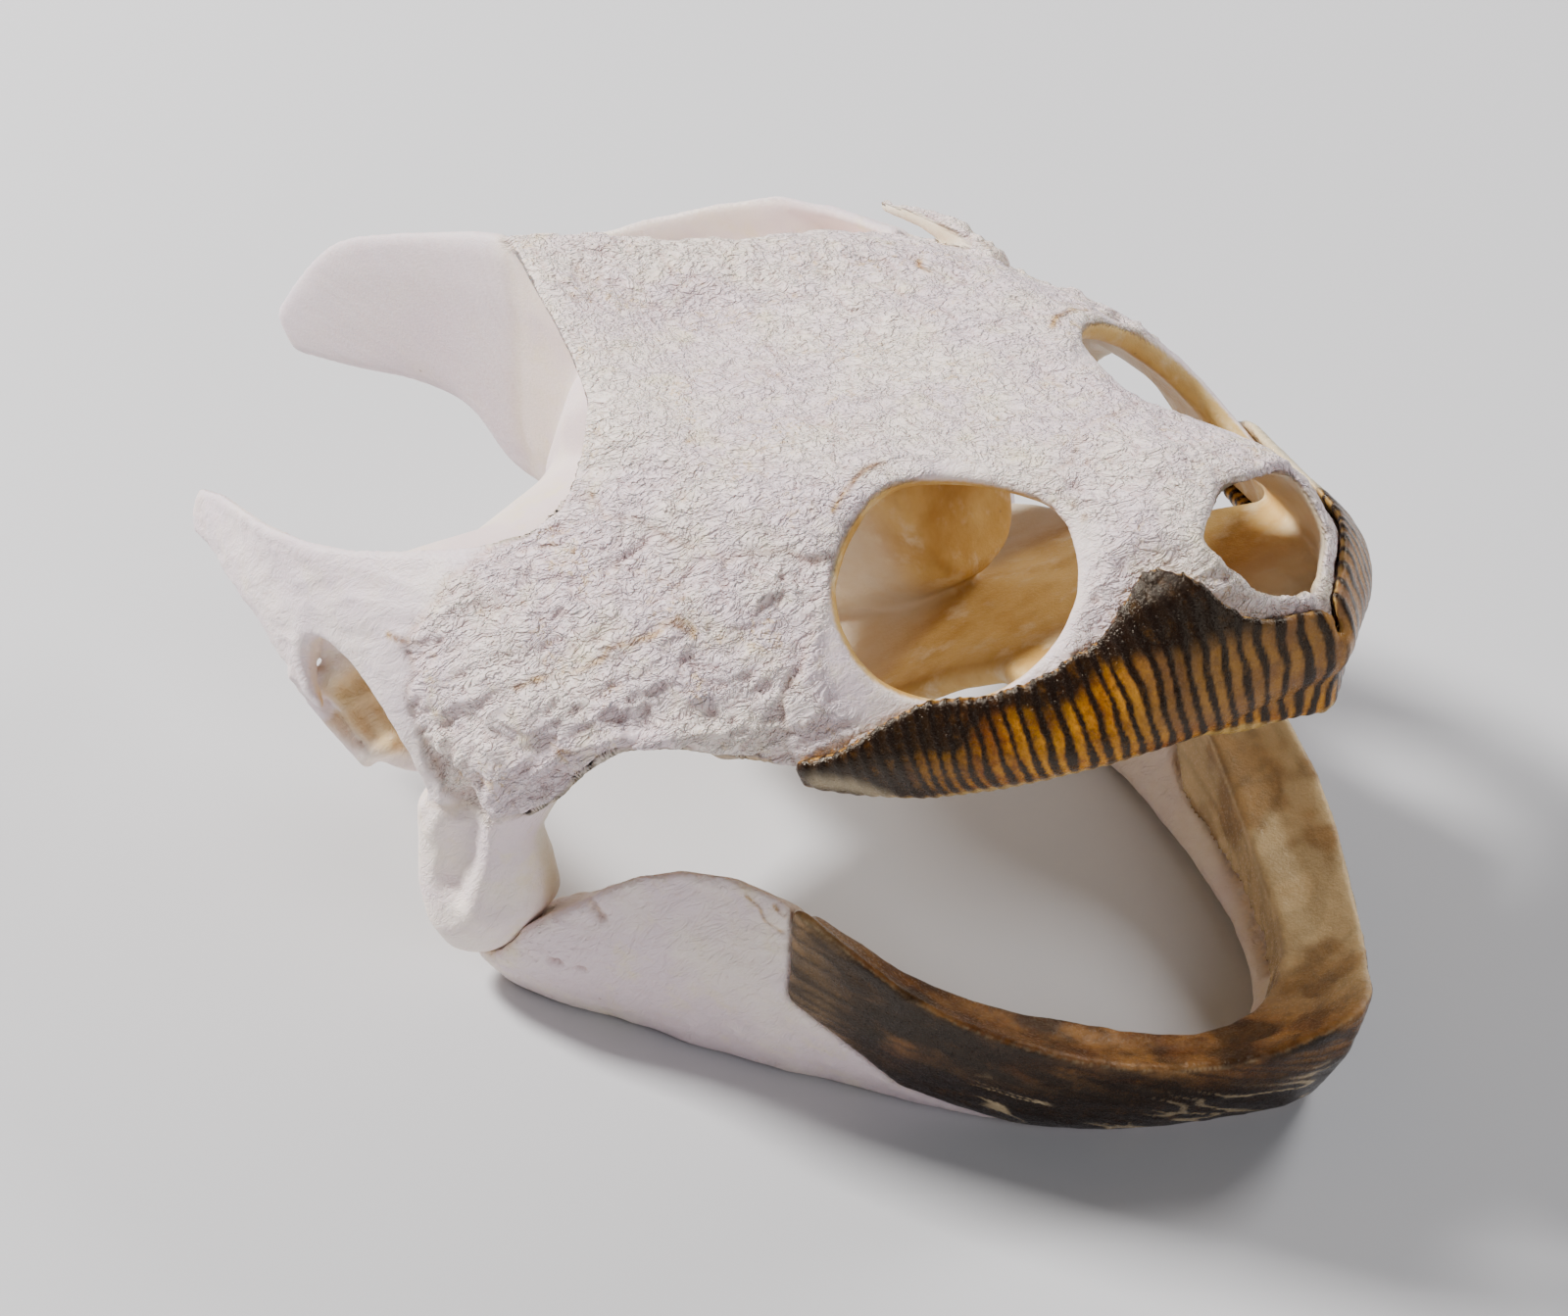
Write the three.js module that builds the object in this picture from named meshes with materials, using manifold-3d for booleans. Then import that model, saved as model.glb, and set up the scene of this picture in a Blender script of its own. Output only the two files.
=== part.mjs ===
// Skull of a large common snapping turtle, jaws agape, at life size.
// Millimetres. The jaw hinge axis is the origin while the bones are shaped: +X to the snout,
// +Y to the animal's left, +Z up. The cranium is shaped level and then tipped back by the gape,
// and the whole skull is set down so that its origin is the middle of its box, on the ground.
import * as THREE from "three";
import { mergeVertices } from "three/addons/utils/BufferGeometryUtils.js";
import Module from "manifold-3d";

const wasm = await Module();
wasm.setup();

// Driving dimensions
const GAPE = 27.6; // degrees that the cranium is tipped back about the hinge
const GAP = 0.3; // clearance between neighbouring bones
const ROOF_THICK = 3.0;
const CHEEK_THICK = 2.4;
const EDGE_THICK = 1.3;
const HORN_THICK = 2.0;
const GROUND = -19.2; // the lower border of the jaw is flat at this height
const BOTH = [1, -1]; // left and right
const SHELL_STEPS = [26, 16]; // along the lines of the skin bones and across them
const JAW_STEPS = 44;
const BEAK_STEPS = 26;

// Lines of the skin bones on the left half, from the rear margin to the front margin.
// Each station is x forward, y outward, z up.
const LINES = {
  midline: [
    [-13, 0, 54.8], [-2, 0, 48.2], [9, 0, 42.4], [24, 0, 38.3], [42, 0, 34.4],
    [55, 0, 31], [66, 0, 28.4], [72, 0, 26.4], [77, 0, 23],
  ],
  roofSide: [
    [4, 12.5, 46.8], [11, 14, 44.6], [20, 15, 41], [31, 16, 37.8], [45, 16.5, 34],
    [55.5, 10.5, 30.2], [65, 8.5, 26], [73, 8, 23.6], [78.8, 7.4, 21.2],
  ],
  temple: [
    [13, 21.5, 42.4], [19, 22.5, 40.5], [27, 23.5, 37.6], [36, 24.5, 34], [45.5, 23, 30.5],
    [56.5, 18, 25.5], [68.5, 13.5, 20.5], [76, 11, 18], [80.8, 7.5, 18],
  ],
  upperCheek: [
    [12, 31.5, 35.8], [19, 32, 33.8], [27, 32, 31], [37, 31, 27.5], [45.5, 28.3, 25],
    [56, 24, 19.5], [68, 17.5, 15.2], [76.5, 12.5, 13], [83, 5.6, 13.2],
  ],
  cheek: [
    [-2.5, 38, 36.6], [9, 40.8, 30.5], [20, 41, 25.5], [33, 38, 22], [45, 32.5, 19],
    [55.5, 27.5, 13.2], [67.5, 20, 9.5], [77, 13, 8.5], [84, 0, 9.6],
  ],
  lowerCheek: [
    [-19, 39.2, 38.6], [-7, 43.4, 30.5], [6, 45.5, 24], [22, 44, 20.5], [37, 38, 16],
    [50, 31.5, 10.5], [64, 23, 6.5], [76, 13.5, 5.5], [84, 0, 6.6],
  ],
  prongSide: [
    [-45.5, 27, 38], [-29, 37, 31], [-10, 45, 20.5], [10, 47, 15], [29, 43, 18],
    [42, 35.5, 11.5], [57, 27, 6], [73, 16, 4], [83, 0, 4],
  ],
  lowerRim: [
    [-48.5, 27.5, 32], [-31, 37.5, 25], [-17, 43, 14], [8, 46.2, 8], [26, 43.8, 15.5],
    [38.5, 36.5, 10], [50, 29.5, 5], [67, 19.5, 3.5], [81, 0, 2],
  ],
};

const ORBIT = {
  // Rim of the eye socket, from its rear corner over the top and back below
  rim: [
    [46.4, 27.2, 26.1], [48, 17.5, 31.9], [52.5, 13.5, 31], [59.3, 10.6, 28], [64, 10.5, 25],
    [67.2, 14.9, 19.9], [65.3, 19, 15.4], [60, 24, 12.6], [54.5, 27.2, 13.4], [49, 29, 17.6],
  ],
};

// Crest of the supraoccipital: upper and lower edge in the plane of symmetry, front to rear
const CREST = {
  upper: [[-1, 46], [-12, 53.6], [-24, 55], [-37.5, 55], [-44, 53.2], [-50.5, 49.4], [-55.5, 45.6]],
  lower: [[-7, 22], [-17, 20], [-26, 25], [-28.5, 31.5], [-36, 35.2], [-46, 37.2], [-55, 39.6]],
  halfThick: [4.2, 2.6, 1.5, 1.1, 1, 0.9, 0.8],
};

// Lower jaw on the left half, from the chin to the joint: upper outer ridge, inner edge of the
// biting surface, lower edge, and how far the outer face swells past the ridge
const JAW = {
  ridge: [
    [80, 0, -2.4], [74.5, 9.2, -5.8], [66.5, 18, -6.2], [56.5, 26.5, -3], [45.5, 32, 1.2],
    [34, 35.2, 8.2], [24, 36.4, 10.2], [14, 39.5, 5.6], [7, 42, -1.5], [0, 43.5, -8.6], [-5.5, 44, -12.5],
  ],
  inner: [
    [67, 0, -10.8], [64, 9, -9.6], [55.8, 15.9, -7.8], [47.5, 22.3, -5.4], [40.5, 26.5, -2.2],
    [32, 31, 4.2], [23.5, 33.6, 6], [13, 35, 1.5], [6, 35, -4], [-1, 34.5, -9.6], [-6, 37, -13],
  ],
  lower: [
    [73, 0, -19.3], [68.5, 7.9, -19.3], [61.5, 15.7, -19.3], [54, 21.3, -19.3], [41.5, 26.5, -19.3],
    [29.5, 31, -19.3], [20, 34, -19.3], [11, 36.4, -19.3], [4, 38.3, -19.3], [-2, 39.4, -19], [-6.5, 40.6, -16],
  ],
  // Inner lower edge, which hides the groove of the jaw
  heel: [
    [64, 0, -16.5], [61.5, 7, -16.5], [54.5, 13.5, -16], [46.5, 18.5, -16.2], [38.5, 23, -16.5],
    [30, 27, -17], [21, 30, -17.5], [12, 32, -18], [4, 33.5, -18], [-2, 35, -17.5], [-6, 37.5, -15.2],
  ],
  swell: [1.5, 1.6, 1.8, 2.2, 2.4, 2.2, 2, 2, 1.8, 1.4, 0.8],
  // Rear and lower border of the sheath, seen from the side
  hornBorder: [[32, 20], [31.5, -4.5], [37, -9], [42, -14.5], [52, -18.4], [110, -18.4], [110, 20]],
};

// Upper horn sheath on the left half, rear tip to the middle of the beak: its upper border on the
// skin bones (0 rear to 1 front, 0 midline to 1 lower rim), where its lower border starts on the
// rim of the jaw, and its cutting edge
const BEAK = {
  leftTop: 0.42, // the left half is worn down to this line
  border: [
    [0.6, 0.76], [0.585, 0.63], [0.606, 0.56], [0.66, 0.54], [0.706, 0.49], [0.744, 0.44], [0.775, 0.38],
    [0.79, 0.28], [0.844, 0.21], [0.915, 0.19], [0.955, 0.27], [0.962, 0.38], [0.98, 0.48], [1, 0.57],
  ],
  rimFrom: 0.655,
  edge: [
    [39.5, 36.4, 8.6], [45, 32.6, 5.2], [51.5, 28.6, 2.9], [58, 24.8, 2], [64, 20.8, 1.8],
    [69, 17, 1.7], [73, 13.4, 1.4], [76.6, 9.4, 0.2], [78, 5, -1.3], [78.8, 0, -3.2],
  ],
};

// Middle and half sizes of the rings of a quadrate, from the ear region down to the joint
const QUADRATE = [
  { at: [0, 37, 31], size: [9, 4] },
  { at: [1.5, 39, 22], size: [11, 5.5] },
  { at: [2.5, 41, 13.5], size: [11, 4.6] },
  { at: [0.6, 41.5, 9], size: [10.4, 4.4] },
  { at: [-3.9, 41.3, 4], size: [8.3, 4.4] },
  { at: [-6.3, 40.6, -1], size: [8.8, 5.4] },
  { at: [-7.5, 40.4, -5.4], size: [8.2, 6] },
  { at: [-9.8, 40.4, -9], size: [5.4, 4.4] },
  { at: [-10.6, 40.4, -10.6], size: [2.6, 2.4] },
];
const EAR = { at: [-13.5, 45, 18.5], size: [11.5, 10, 7.4], tilt: 48 };

// Where the bones are parted, as lines of [x, y] on the left half that are cut straight down
const SUTURES = {
  squamosal: [[10, 20], [8, 30], [7, 36], [3, 41], [-1, 46], [-2, 54]],
  cheekTop: [[4, 29.5], [14, 28.5], [24, 29], [34, 29], [44, 26], [50, 22]],
  maxilla: [[47, 22], [45, 30], [41, 36], [38, 44]],
  jawRear: [[27.7, 22], [24.6, 30], [20.7, 36], [19.7, 46]],
  quadrate: [[-40, 31], [40, 31]],
};
// Lines of [x, z] that are cut straight through from side to side
const FRONTAL_SUTURE = [[60, 0], [61.5, 5], [60.5, 9], [62, 14]];
const SNOUT_SUTURE = [[62, 19.5], [69, 17.5], [74, 14.5], [79, 14], [90, 12.4]];
const PALATE_LEVEL = 13.2;
const CREST_SUTURE = [[-8, 70], [-13, 45], [-19, 34], [-22.5, 24], [-24, 8]];

// Sliver of bone left standing on the left rim of the temple
const SLIVER = {
  at: [[26, 28.5, 33.6], [22, 30.5, 35.6], [15, 32.5, 37.6], [8.3, 34, 38.6]],
  radius: [2, 1.7, 1.1, 0.5],
};

const COLOURS = { bone: 0xe9e2dd, innerBone: 0xe4d3b0, crest: 0xdcd3dc, horn: 0x5a3416 };

// Geometry helpers

const vector = ([x, y, z]) => new THREE.Vector3(x, y, z);

// A point on the smooth line through a row of points, u from 0 to 1
function along(points, u) {
  return new THREE.CatmullRomCurve3(points, false, "catmullrom", 0.5).getPoint(u);
}

// A closed geometry from a list of corner positions and triangles, facing outwards
function closed(corners, triangles) {
  let geometry = new THREE.BufferGeometry();
  geometry.setAttribute("position", new THREE.Float32BufferAttribute(corners.flatMap((p) => [p.x, p.y, p.z]), 3));
  geometry.setIndex(triangles);
  geometry = mergeVertices(geometry, 1e-3);
  return volume(geometry) < 0 ? flipped(geometry) : geometry;
}

function volume(geometry) {
  const p = geometry.attributes.position;
  const t = geometry.index.array;
  const at = (i) => new THREE.Vector3().fromBufferAttribute(p, t[i]);
  let sum = 0;
  for (let i = 0; i < t.length; i += 3) sum += at(i).dot(at(i + 1).cross(at(i + 2)));
  return sum / 6;
}

function flipped(geometry) {
  const t = geometry.index.array;
  for (let i = 0; i < t.length; i += 3) [t[i + 1], t[i + 2]] = [t[i + 2], t[i + 1]];
  return geometry;
}

function solid(geometry) {
  const bare = new THREE.BufferGeometry().setAttribute("position", geometry.getAttribute("position"));
  if (geometry.index) bare.setIndex(geometry.index);
  const merged = mergeVertices(bare, 1e-3);
  return new wasm.Manifold(
    new wasm.Mesh({
      numProp: 3,
      vertProperties: new Float32Array(merged.attributes.position.array),
      triVerts: new Uint32Array(merged.index.array),
    }),
  );
}

function geometryOf(body) {
  const mesh = body.getMesh();
  const geometry = new THREE.BufferGeometry();
  geometry.setAttribute("position", new THREE.BufferAttribute(new Float32Array(mesh.vertProperties), 3));
  geometry.setIndex(new THREE.BufferAttribute(new Uint32Array(mesh.triVerts), 1));
  return geometry;
}

function largest(body) {
  const pieces = body.decompose();
  return pieces.reduce((a, b) => (b.volume() > a.volume() ? b : a));
}

const union = (bodies) => bodies.reduce((a, b) => a.add(b));

function mirrored(geometry) {
  return flipped(geometry.clone().applyMatrix4(new THREE.Matrix4().makeScale(1, -1, 1)));
}

// The same solid on one side of the head: 1 is left, -1 is right
const onSide = (geometry, side) => solid(side > 0 ? geometry : mirrored(geometry));

// Skin over rings of equal length, with both ends closed by fans
function loft(rings) {
  const count = rings[0].length;
  const corners = rings.flat();
  const triangles = [];
  for (let i = 0; i + 1 < rings.length; i++)
    for (let j = 0; j < count; j++) {
      const a = i * count + j;
      const b = i * count + ((j + 1) % count);
      triangles.push(a, b, b + count, a, b + count, a + count);
    }
  for (const [ring, turn] of [[0, 1], [rings.length - 1, -1]]) {
    const middle = corners.length;
    const centre = new THREE.Vector3();
    rings[ring].forEach((p) => centre.addScaledVector(p, 1 / count));
    corners.push(centre);
    for (let j = 0; j < count; j++) {
      const a = ring * count + j;
      const b = ring * count + ((j + 1) % count);
      triangles.push(...(turn > 0 ? [middle, b, a] : [middle, a, b]));
    }
  }
  return closed(corners, triangles);
}

// A ring of points with half sizes a and b along two directions, squarer as power grows
function ring(centre, across, up, a, b, count, power = 2) {
  const points = [];
  for (let i = 0; i < count; i++) {
    const turn = (2 * Math.PI * i) / count;
    const c = Math.cos(turn);
    const s = Math.sin(turn);
    const p = centre.clone();
    p.addScaledVector(across, a * Math.sign(c) * Math.abs(c) ** (2 / power));
    p.addScaledVector(up, b * Math.sign(s) * Math.abs(s) ** (2 / power));
    points.push(p);
  }
  return points;
}

// A solid plate between a grid of points and the same grid pushed along its normals.
// grid[i][j]; push(i, j) gives the depth in front of and behind the surface.
function plate(grid, push) {
  const n = grid.length;
  const m = grid[0].length;
  const normal = (i, j) => {
    const du = grid[Math.min(i + 1, n - 1)][j].clone().sub(grid[Math.max(i - 1, 0)][j]);
    const dv = grid[i][Math.min(j + 1, m - 1)].clone().sub(grid[i][Math.max(j - 1, 0)]);
    const out = du.cross(dv);
    // On the plane of symmetry the two halves meet square
    if (Math.abs(grid[i][j].y) < 1e-6) out.setY(0);
    return out.normalize();
  };
  const corners = [];
  for (const face of [0, 1])
    for (let i = 0; i < n; i++)
      for (let j = 0; j < m; j++)
        corners.push(grid[i][j].clone().addScaledVector(normal(i, j), push(i / (n - 1), j / (m - 1))[face]));
  const id = (face, i, j) => face * n * m + i * m + j;
  const triangles = [];
  const quad = (a, b, c, d) => triangles.push(a, b, c, a, c, d);
  for (let i = 0; i + 1 < n; i++)
    for (let j = 0; j + 1 < m; j++) {
      quad(id(0, i, j), id(0, i + 1, j), id(0, i + 1, j + 1), id(0, i, j + 1));
      triangles.push(id(1, i, j), id(1, i + 1, j + 1), id(1, i + 1, j));
      triangles.push(id(1, i, j), id(1, i, j + 1), id(1, i + 1, j + 1));
    }
  for (let i = 0; i + 1 < n; i++) {
    quad(id(0, i, 0), id(1, i, 0), id(1, i + 1, 0), id(0, i + 1, 0));
    quad(id(0, i, m - 1), id(0, i + 1, m - 1), id(1, i + 1, m - 1), id(1, i, m - 1));
  }
  for (let j = 0; j + 1 < m; j++) {
    quad(id(0, 0, j), id(0, 0, j + 1), id(1, 0, j + 1), id(1, 0, j));
    quad(id(0, n - 1, j), id(1, n - 1, j), id(1, n - 1, j + 1), id(0, n - 1, j + 1));
  }
  return closed(corners, triangles);
}

// A smooth grid over named lines: nu steps along them and nv steps across
function net(lines, nu, nv) {
  const grid = [];
  for (let i = 0; i <= nu; i++) {
    const across = lines.map((line) => along(line, i / nu));
    const row = [];
    for (let j = 0; j <= nv; j++) row.push(along(across, j / nv));
    grid.push(row);
  }
  return grid;
}

// A prism between two heights over an outline of [x, y]
function prism(outline, low, high) {
  const shape = new THREE.Shape(outline.map(([x, y]) => new THREE.Vector2(x, y)));
  const geometry = new THREE.ExtrudeGeometry(shape, { depth: high - low, bevelEnabled: false, steps: 1 });
  geometry.deleteAttribute("normal");
  geometry.deleteAttribute("uv");
  geometry.clearGroups();
  return mergeVertices(geometry.translate(0, 0, low), 1e-3);
}

// A thin upright wall over a line of [x, y], for parting bones
function wall(line, low, high, thick = GAP) {
  const left = [];
  const right = [];
  line.forEach(([x, y], i) => {
    const [ax, ay] = line[Math.max(i - 1, 0)];
    const [bx, by] = line[Math.min(i + 1, line.length - 1)];
    const length = Math.hypot(bx - ax, by - ay);
    const nx = (-(by - ay) / length) * (thick / 2);
    const ny = ((bx - ax) / length) * (thick / 2);
    left.push([x + nx, y + ny]);
    right.unshift([x - nx, y - ny]);
  });
  return prism([...left, ...right], low, high);
}

// Blob with three half sizes, turned about the Y axis
function blob({ at, size, tilt = 0 }, wide = 14, high = 9) {
  const geometry = new THREE.SphereGeometry(1, wide, high);
  geometry.deleteAttribute("normal");
  geometry.deleteAttribute("uv");
  geometry.scale(...size);
  geometry.rotateY(THREE.MathUtils.degToRad(tilt));
  geometry.translate(...at);
  return mergeVertices(geometry, 1e-3);
}

// Bones of the cranium

const shellLines = Object.values(LINES).map((line) => line.map(vector));
const shellGrid = net(shellLines, ...SHELL_STEPS);

function shellDepth(extra) {
  return (u, v) => {
    const rim = Math.min(1, 6 * Math.min(u, 1 - u, 1 - v));
    const full = THREE.MathUtils.lerp(ROOF_THICK, CHEEK_THICK, v);
    return [extra, -THREE.MathUtils.lerp(EDGE_THICK, full, rim) - extra];
  };
}

// Orbit cutter: the rim drawn out along the socket's own axis
function orbitCutter() {
  const rim = ORBIT.rim.map(vector);
  const middle = new THREE.Vector3();
  rim.forEach((p) => middle.addScaledVector(p, 1 / rim.length));
  const axis = new THREE.Vector3();
  rim.forEach((p, i) => axis.add(p.clone().sub(middle).cross(rim[(i + 1) % rim.length].clone().sub(middle))));
  axis.normalize();
  const curve = new THREE.CatmullRomCurve3(rim, true);
  const outline = curve.getPoints(26).slice(0, 26);
  const spread = (depth, scale) =>
    outline.map((p) => middle.clone().addScaledVector(p.clone().sub(middle), scale).addScaledVector(axis, depth));
  return loft([spread(-9, 1), spread(0, 1), spread(12, 1.15)]);
}

const orbit = orbitCutter();

// The same grid with its border rows moved outwards in the surface
function grown(grid, amount) {
  const out = grid.map((row) => row.map((p) => p.clone()));
  const push = (i, j, a, b) => {
    const away = grid[i][j].clone().sub(grid[a][b]).normalize();
    out[i][j].addScaledVector(away, amount);
  };
  const n = grid.length - 1;
  const m = grid[0].length - 1;
  for (let j = 0; j <= m; j++) {
    push(0, j, 1, j);
    push(n, j, n - 1, j);
  }
  for (let i = 0; i <= n; i++) push(i, m, i, m - 1);
  return out;
}

function shell(extra) {
  const half = plate(extra ? grown(shellGrid, 2 * extra) : shellGrid, shellDepth(1.4 * extra));
  let body = union(BOTH.map((side) => onSide(half, side)));
  for (const side of BOTH) {
    body = body.subtract(onSide(orbit, side));
    if (!extra) body = body.subtract(onSide(blob(EAR), side));
  }
  return body;
}

const dermal = shell(0);
const dermalFat = shell(GAP).add(dermal);

function crestBlade() {
  const edge = (points) => points.map(([x, z]) => new THREE.Vector3(x, 0, z));
  const upper = edge(CREST.upper);
  const lower = edge(CREST.lower);
  const thick = CREST.halfThick.map((t) => new THREE.Vector3(t, 0, 0));
  const rings = [];
  const steps = 20;
  for (let i = 0; i <= steps; i++) {
    const u = i / steps;
    const top = along(upper, u);
    const bottom = along(lower, u);
    const middle = top.clone().add(bottom).multiplyScalar(0.5);
    const up = top.clone().sub(bottom).multiplyScalar(0.5);
    const y = new THREE.Vector3(0, 1, 0);
    rings.push(ring(middle, y, up.clone().normalize(), along(thick, u).x, up.length(), 12, 2.6));
  }
  return loft(rings);
}

// Braincase: rings across the head from behind the eyes to the neck joint
function braincase() {
  const y = new THREE.Vector3(0, 1, 0);
  const z = new THREE.Vector3(0, 0, 1);
  const stations = [
    [40, 25, 8, 12], [30, 24.5, 8.5, 14.5], [18, 25.5, 9, 16.5], [6, 26, 12, 18],
    [-4, 24, 13, 16], [-12, 21, 10, 11], [-17, 19, 6, 7],
  ];
  return loft(stations.map(([x, height, a, b]) => ring(new THREE.Vector3(x, 0, height), y, z, a, b, 16, 2.6)));
}

// Ear capsule: a bridge from the braincase out to the quadrate
function earCapsule() {
  const x = new THREE.Vector3(1, 0, 0);
  const z = new THREE.Vector3(0, 0, 1);
  const stations = [
    [6, 0, 25, 11, 9], [14, 1, 24, 11.5, 8.5], [24, -1, 23.5, 11, 8], [32, -9, 21, 16, 11],
    [38, -12, 20, 18.5, 12],
  ];
  return loft(stations.map(([y, cx, cz, a, b]) => ring(new THREE.Vector3(cx, y, cz), x, z, a, b, 14, 2.3)));
}

function quadrate(extra = 0) {
  const x = new THREE.Vector3(1, 0, 0);
  const y = new THREE.Vector3(0, 1, 0);
  const rings = QUADRATE.map(({ at, size: [a, b] }) => ring(vector(at), x, y, a + extra, b + extra, 16, 2.4));
  if (extra) rings.at(-1).forEach((p) => p.setZ(p.z - extra));
  return loft(rings);
}

// Palate: a plate from the snout to the base of the skull, with a wing to each quadrate
function palate() {
  const inner = [[76, 0, 7], [64, 0, 9], [50, 0, 10], [34, 0, 9.5], [18, 0, 9], [4, 0, 8.5], [-10, 0, 10]];
  const outer = [[76, 9, 7], [64, 19.5, 9], [50, 15, 9], [34, 21, 6.5], [20, 26, 5], [6, 23, 6], [-9, 38, 2]];
  const grid = net([inner.map(vector), outer.map(vector)], 16, 5);
  return plate(grid, () => [1.4, -1.4]);
}

function interior() {
  const bodies = [solid(braincase())];
  for (const side of BOTH) {
    bodies.push(onSide(earCapsule(), side));
    bodies.push(onSide(quadrate(), side));
    bodies.push(onSide(palate(), side));
  }
  bodies.push(solid(blob({ at: [-18, 0, 16.5], size: [5, 4.6, 4] })));
  let body = union(bodies);
  for (const side of BOTH) body = body.subtract(onSide(blob(EAR), side));
  body = body.subtract(solid(blob({ at: [-19, 0, 25.5], size: [9, 5, 4.6] })));
  return body;
}

// Lower jaw

const jawLine = (points, side) => points.map(([x, y, z]) => new THREE.Vector3(x, side * y, z));
const wholeJaw = (points) => [...jawLine(points, -1).reverse(), ...jawLine(points, 1).slice(1)];

// One ring of the jaw at u, drawn in by inset on its outer and upper faces
function jawRing(u, inset) {
  const ridge = along(wholeJaw(JAW.ridge), u);
  const inner = along(wholeJaw(JAW.inner), u);
  const lower = along(wholeJaw(JAW.lower), u);
  const heel = along(wholeJaw(JAW.heel), u);
  const swell = along(wholeJaw(JAW.swell.map((s) => [s, 0, 0])), u).x;
  const out = ridge.clone().sub(inner).setZ(0).normalize();
  const up = new THREE.Vector3(0, 0, 1);
  const at = (base, o, z) => base.clone().addScaledVector(out, o).addScaledVector(up, z);
  const mid = ridge.clone().lerp(lower, 0.45);
  const low = ridge.clone().lerp(lower, 0.8);
  return [
    at(ridge, -inset, -inset),
    at(mid, swell - inset, 0),
    at(low, swell * 0.9 - inset, 0),
    at(lower, 1 - inset * 0.5, 0),
    at(lower, -1.4, 0),
    heel,
    inner.clone().lerp(heel, 0.45).addScaledVector(out, 0.8 + inset * 0.5),
    at(inner, inset * 0.4, -inset * 0.9),
    at(inner.clone().lerp(ridge, 0.45), 0, -0.9 - inset),
  ];
}

function jawBody(inset) {
  const rings = [];
  for (let i = 0; i <= JAW_STEPS; i++) rings.push(jawRing(i / JAW_STEPS, inset));
  return solid(loft(rings)).intersect(zone([[-40, GROUND], [110, GROUND], [110, 20], [-40, 20]]));
}

// Everything inside an outline of [x, z] seen from the side, moved by dx and dz
function zone(outline, dx = 0, dz = 0) {
  const moved = outline.map(([x, z]) => [x + dx, z + dz]);
  return solid(prism(moved, -60, 60).rotateX(Math.PI / 2));
}

function lowerJaw() {
  const full = jawBody(0);
  const horn = full.subtract(jawBody(HORN_THICK - GAP)).intersect(zone(JAW.hornBorder));
  const core = jawBody(HORN_THICK).intersect(zone(JAW.hornBorder, -2, -1));
  const bone = full.subtract(zone(JAW.hornBorder, -GAP, -GAP)).add(core).subtract(horn);
  return { horn, bone };
}

// Upper horn sheath: it lies on the skin bones from its border to their lower rim, then turns
// down to the cutting edge
function beakHalf(highest) {
  const border = BEAK.border.map(([u, v]) => new THREE.Vector3(u, Math.max(v, highest), 0));
  const edge = BEAK.edge.map(vector);
  const grid = [];
  for (let i = 0; i <= BEAK_STEPS; i++) {
    const w = i / BEAK_STEPS;
    const top = along(border, w);
    const rimAt = THREE.MathUtils.lerp(BEAK.rimFrom, 1, w);
    const row = [];
    for (let j = 0; j <= 6; j++) {
      const u = Math.min(1, THREE.MathUtils.lerp(top.x, rimAt, j / 6));
      const across = shellLines.map((line) => along(line, u));
      row.push(along(across, THREE.MathUtils.lerp(top.y, 1, j / 6)));
    }
    const rim = row[6];
    const tip = along(edge, w);
    row.push(rim.clone().lerp(tip, 0.5));
    row.push(tip);
    grid.push(row);
  }
  const swell = (v) => HORN_THICK * Math.sin(Math.PI * Math.min(1, 0.12 + 0.82 * v)) ** 0.5;
  return plate(grid, (u, v) => [swell(v), v > 0.72 ? -2.2 * (1.12 - v) / 0.4 - 0.4 : -0.4]);
}

const beak = () => union(BOTH.map((side) => onSide(beakHalf(side > 0 ? BEAK.leftTop : 0), side)));

// A curved tapering rod of bone
function sliver() {
  const y = new THREE.Vector3(0, 1, 0);
  const z = new THREE.Vector3(0, 0, 1);
  const centre = SLIVER.at.map(vector);
  const radius = SLIVER.radius.map((r) => new THREE.Vector3(r, 0, 0));
  const rings = [];
  for (let i = 0; i <= 7; i++) {
    const r = along(radius, i / 7).x;
    rings.push(ring(along(centre, i / 7), y, z, r * 0.7, r, 8));
  }
  return loft(rings);
}

// Parting of a whole into bones

const TALL = [-80, 120];

const bothSides = (line) => BOTH.map((side) => line.map(([x, y]) => [x, side * y]));

function partedBy(body, lines) {
  return lines.reduce((rest, line) => rest.subtract(solid(wall(line, ...TALL))), body);
}

// A wall on a line of [x, z], from one side of the head to the other
function crossWall(line, from, to) {
  return solid(wall(line, from, to).rotateX(Math.PI / 2));
}

// The piece whose middle is nearest to a point
function pieceAt(body, point) {
  const target = vector(point);
  const distance = (piece) => {
    const { min, max } = piece.boundingBox();
    return vector(min).add(vector(max)).multiplyScalar(0.5).distanceTo(target);
  };
  const pieces = body.decompose().filter((piece) => piece.volume() > 20);
  return pieces.reduce((a, b) => (distance(b) < distance(a) ? b : a));
}

function skinBones() {
  let body = partedBy(dermal.add(solid(sliver())), [
    ...bothSides(SUTURES.squamosal),
    ...bothSides(SUTURES.cheekTop),
    ...bothSides(SUTURES.maxilla),
    [...bothSides(FRONTAL_SUTURE)[1].reverse(), ...FRONTAL_SUTURE.slice(1)],
    [[66, 0], [95, 0]],
  ]);
  for (const side of BOTH) body = body.subtract(crossWall(SNOUT_SUTURE, side > 0 ? -40 : 2, side > 0 ? -2 : 40));
  return body;
}

// Scene

const skull = new THREE.Group();
const cranium = new THREE.Group();
cranium.rotation.y = -THREE.MathUtils.degToRad(GAPE);
skull.add(cranium);

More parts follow.
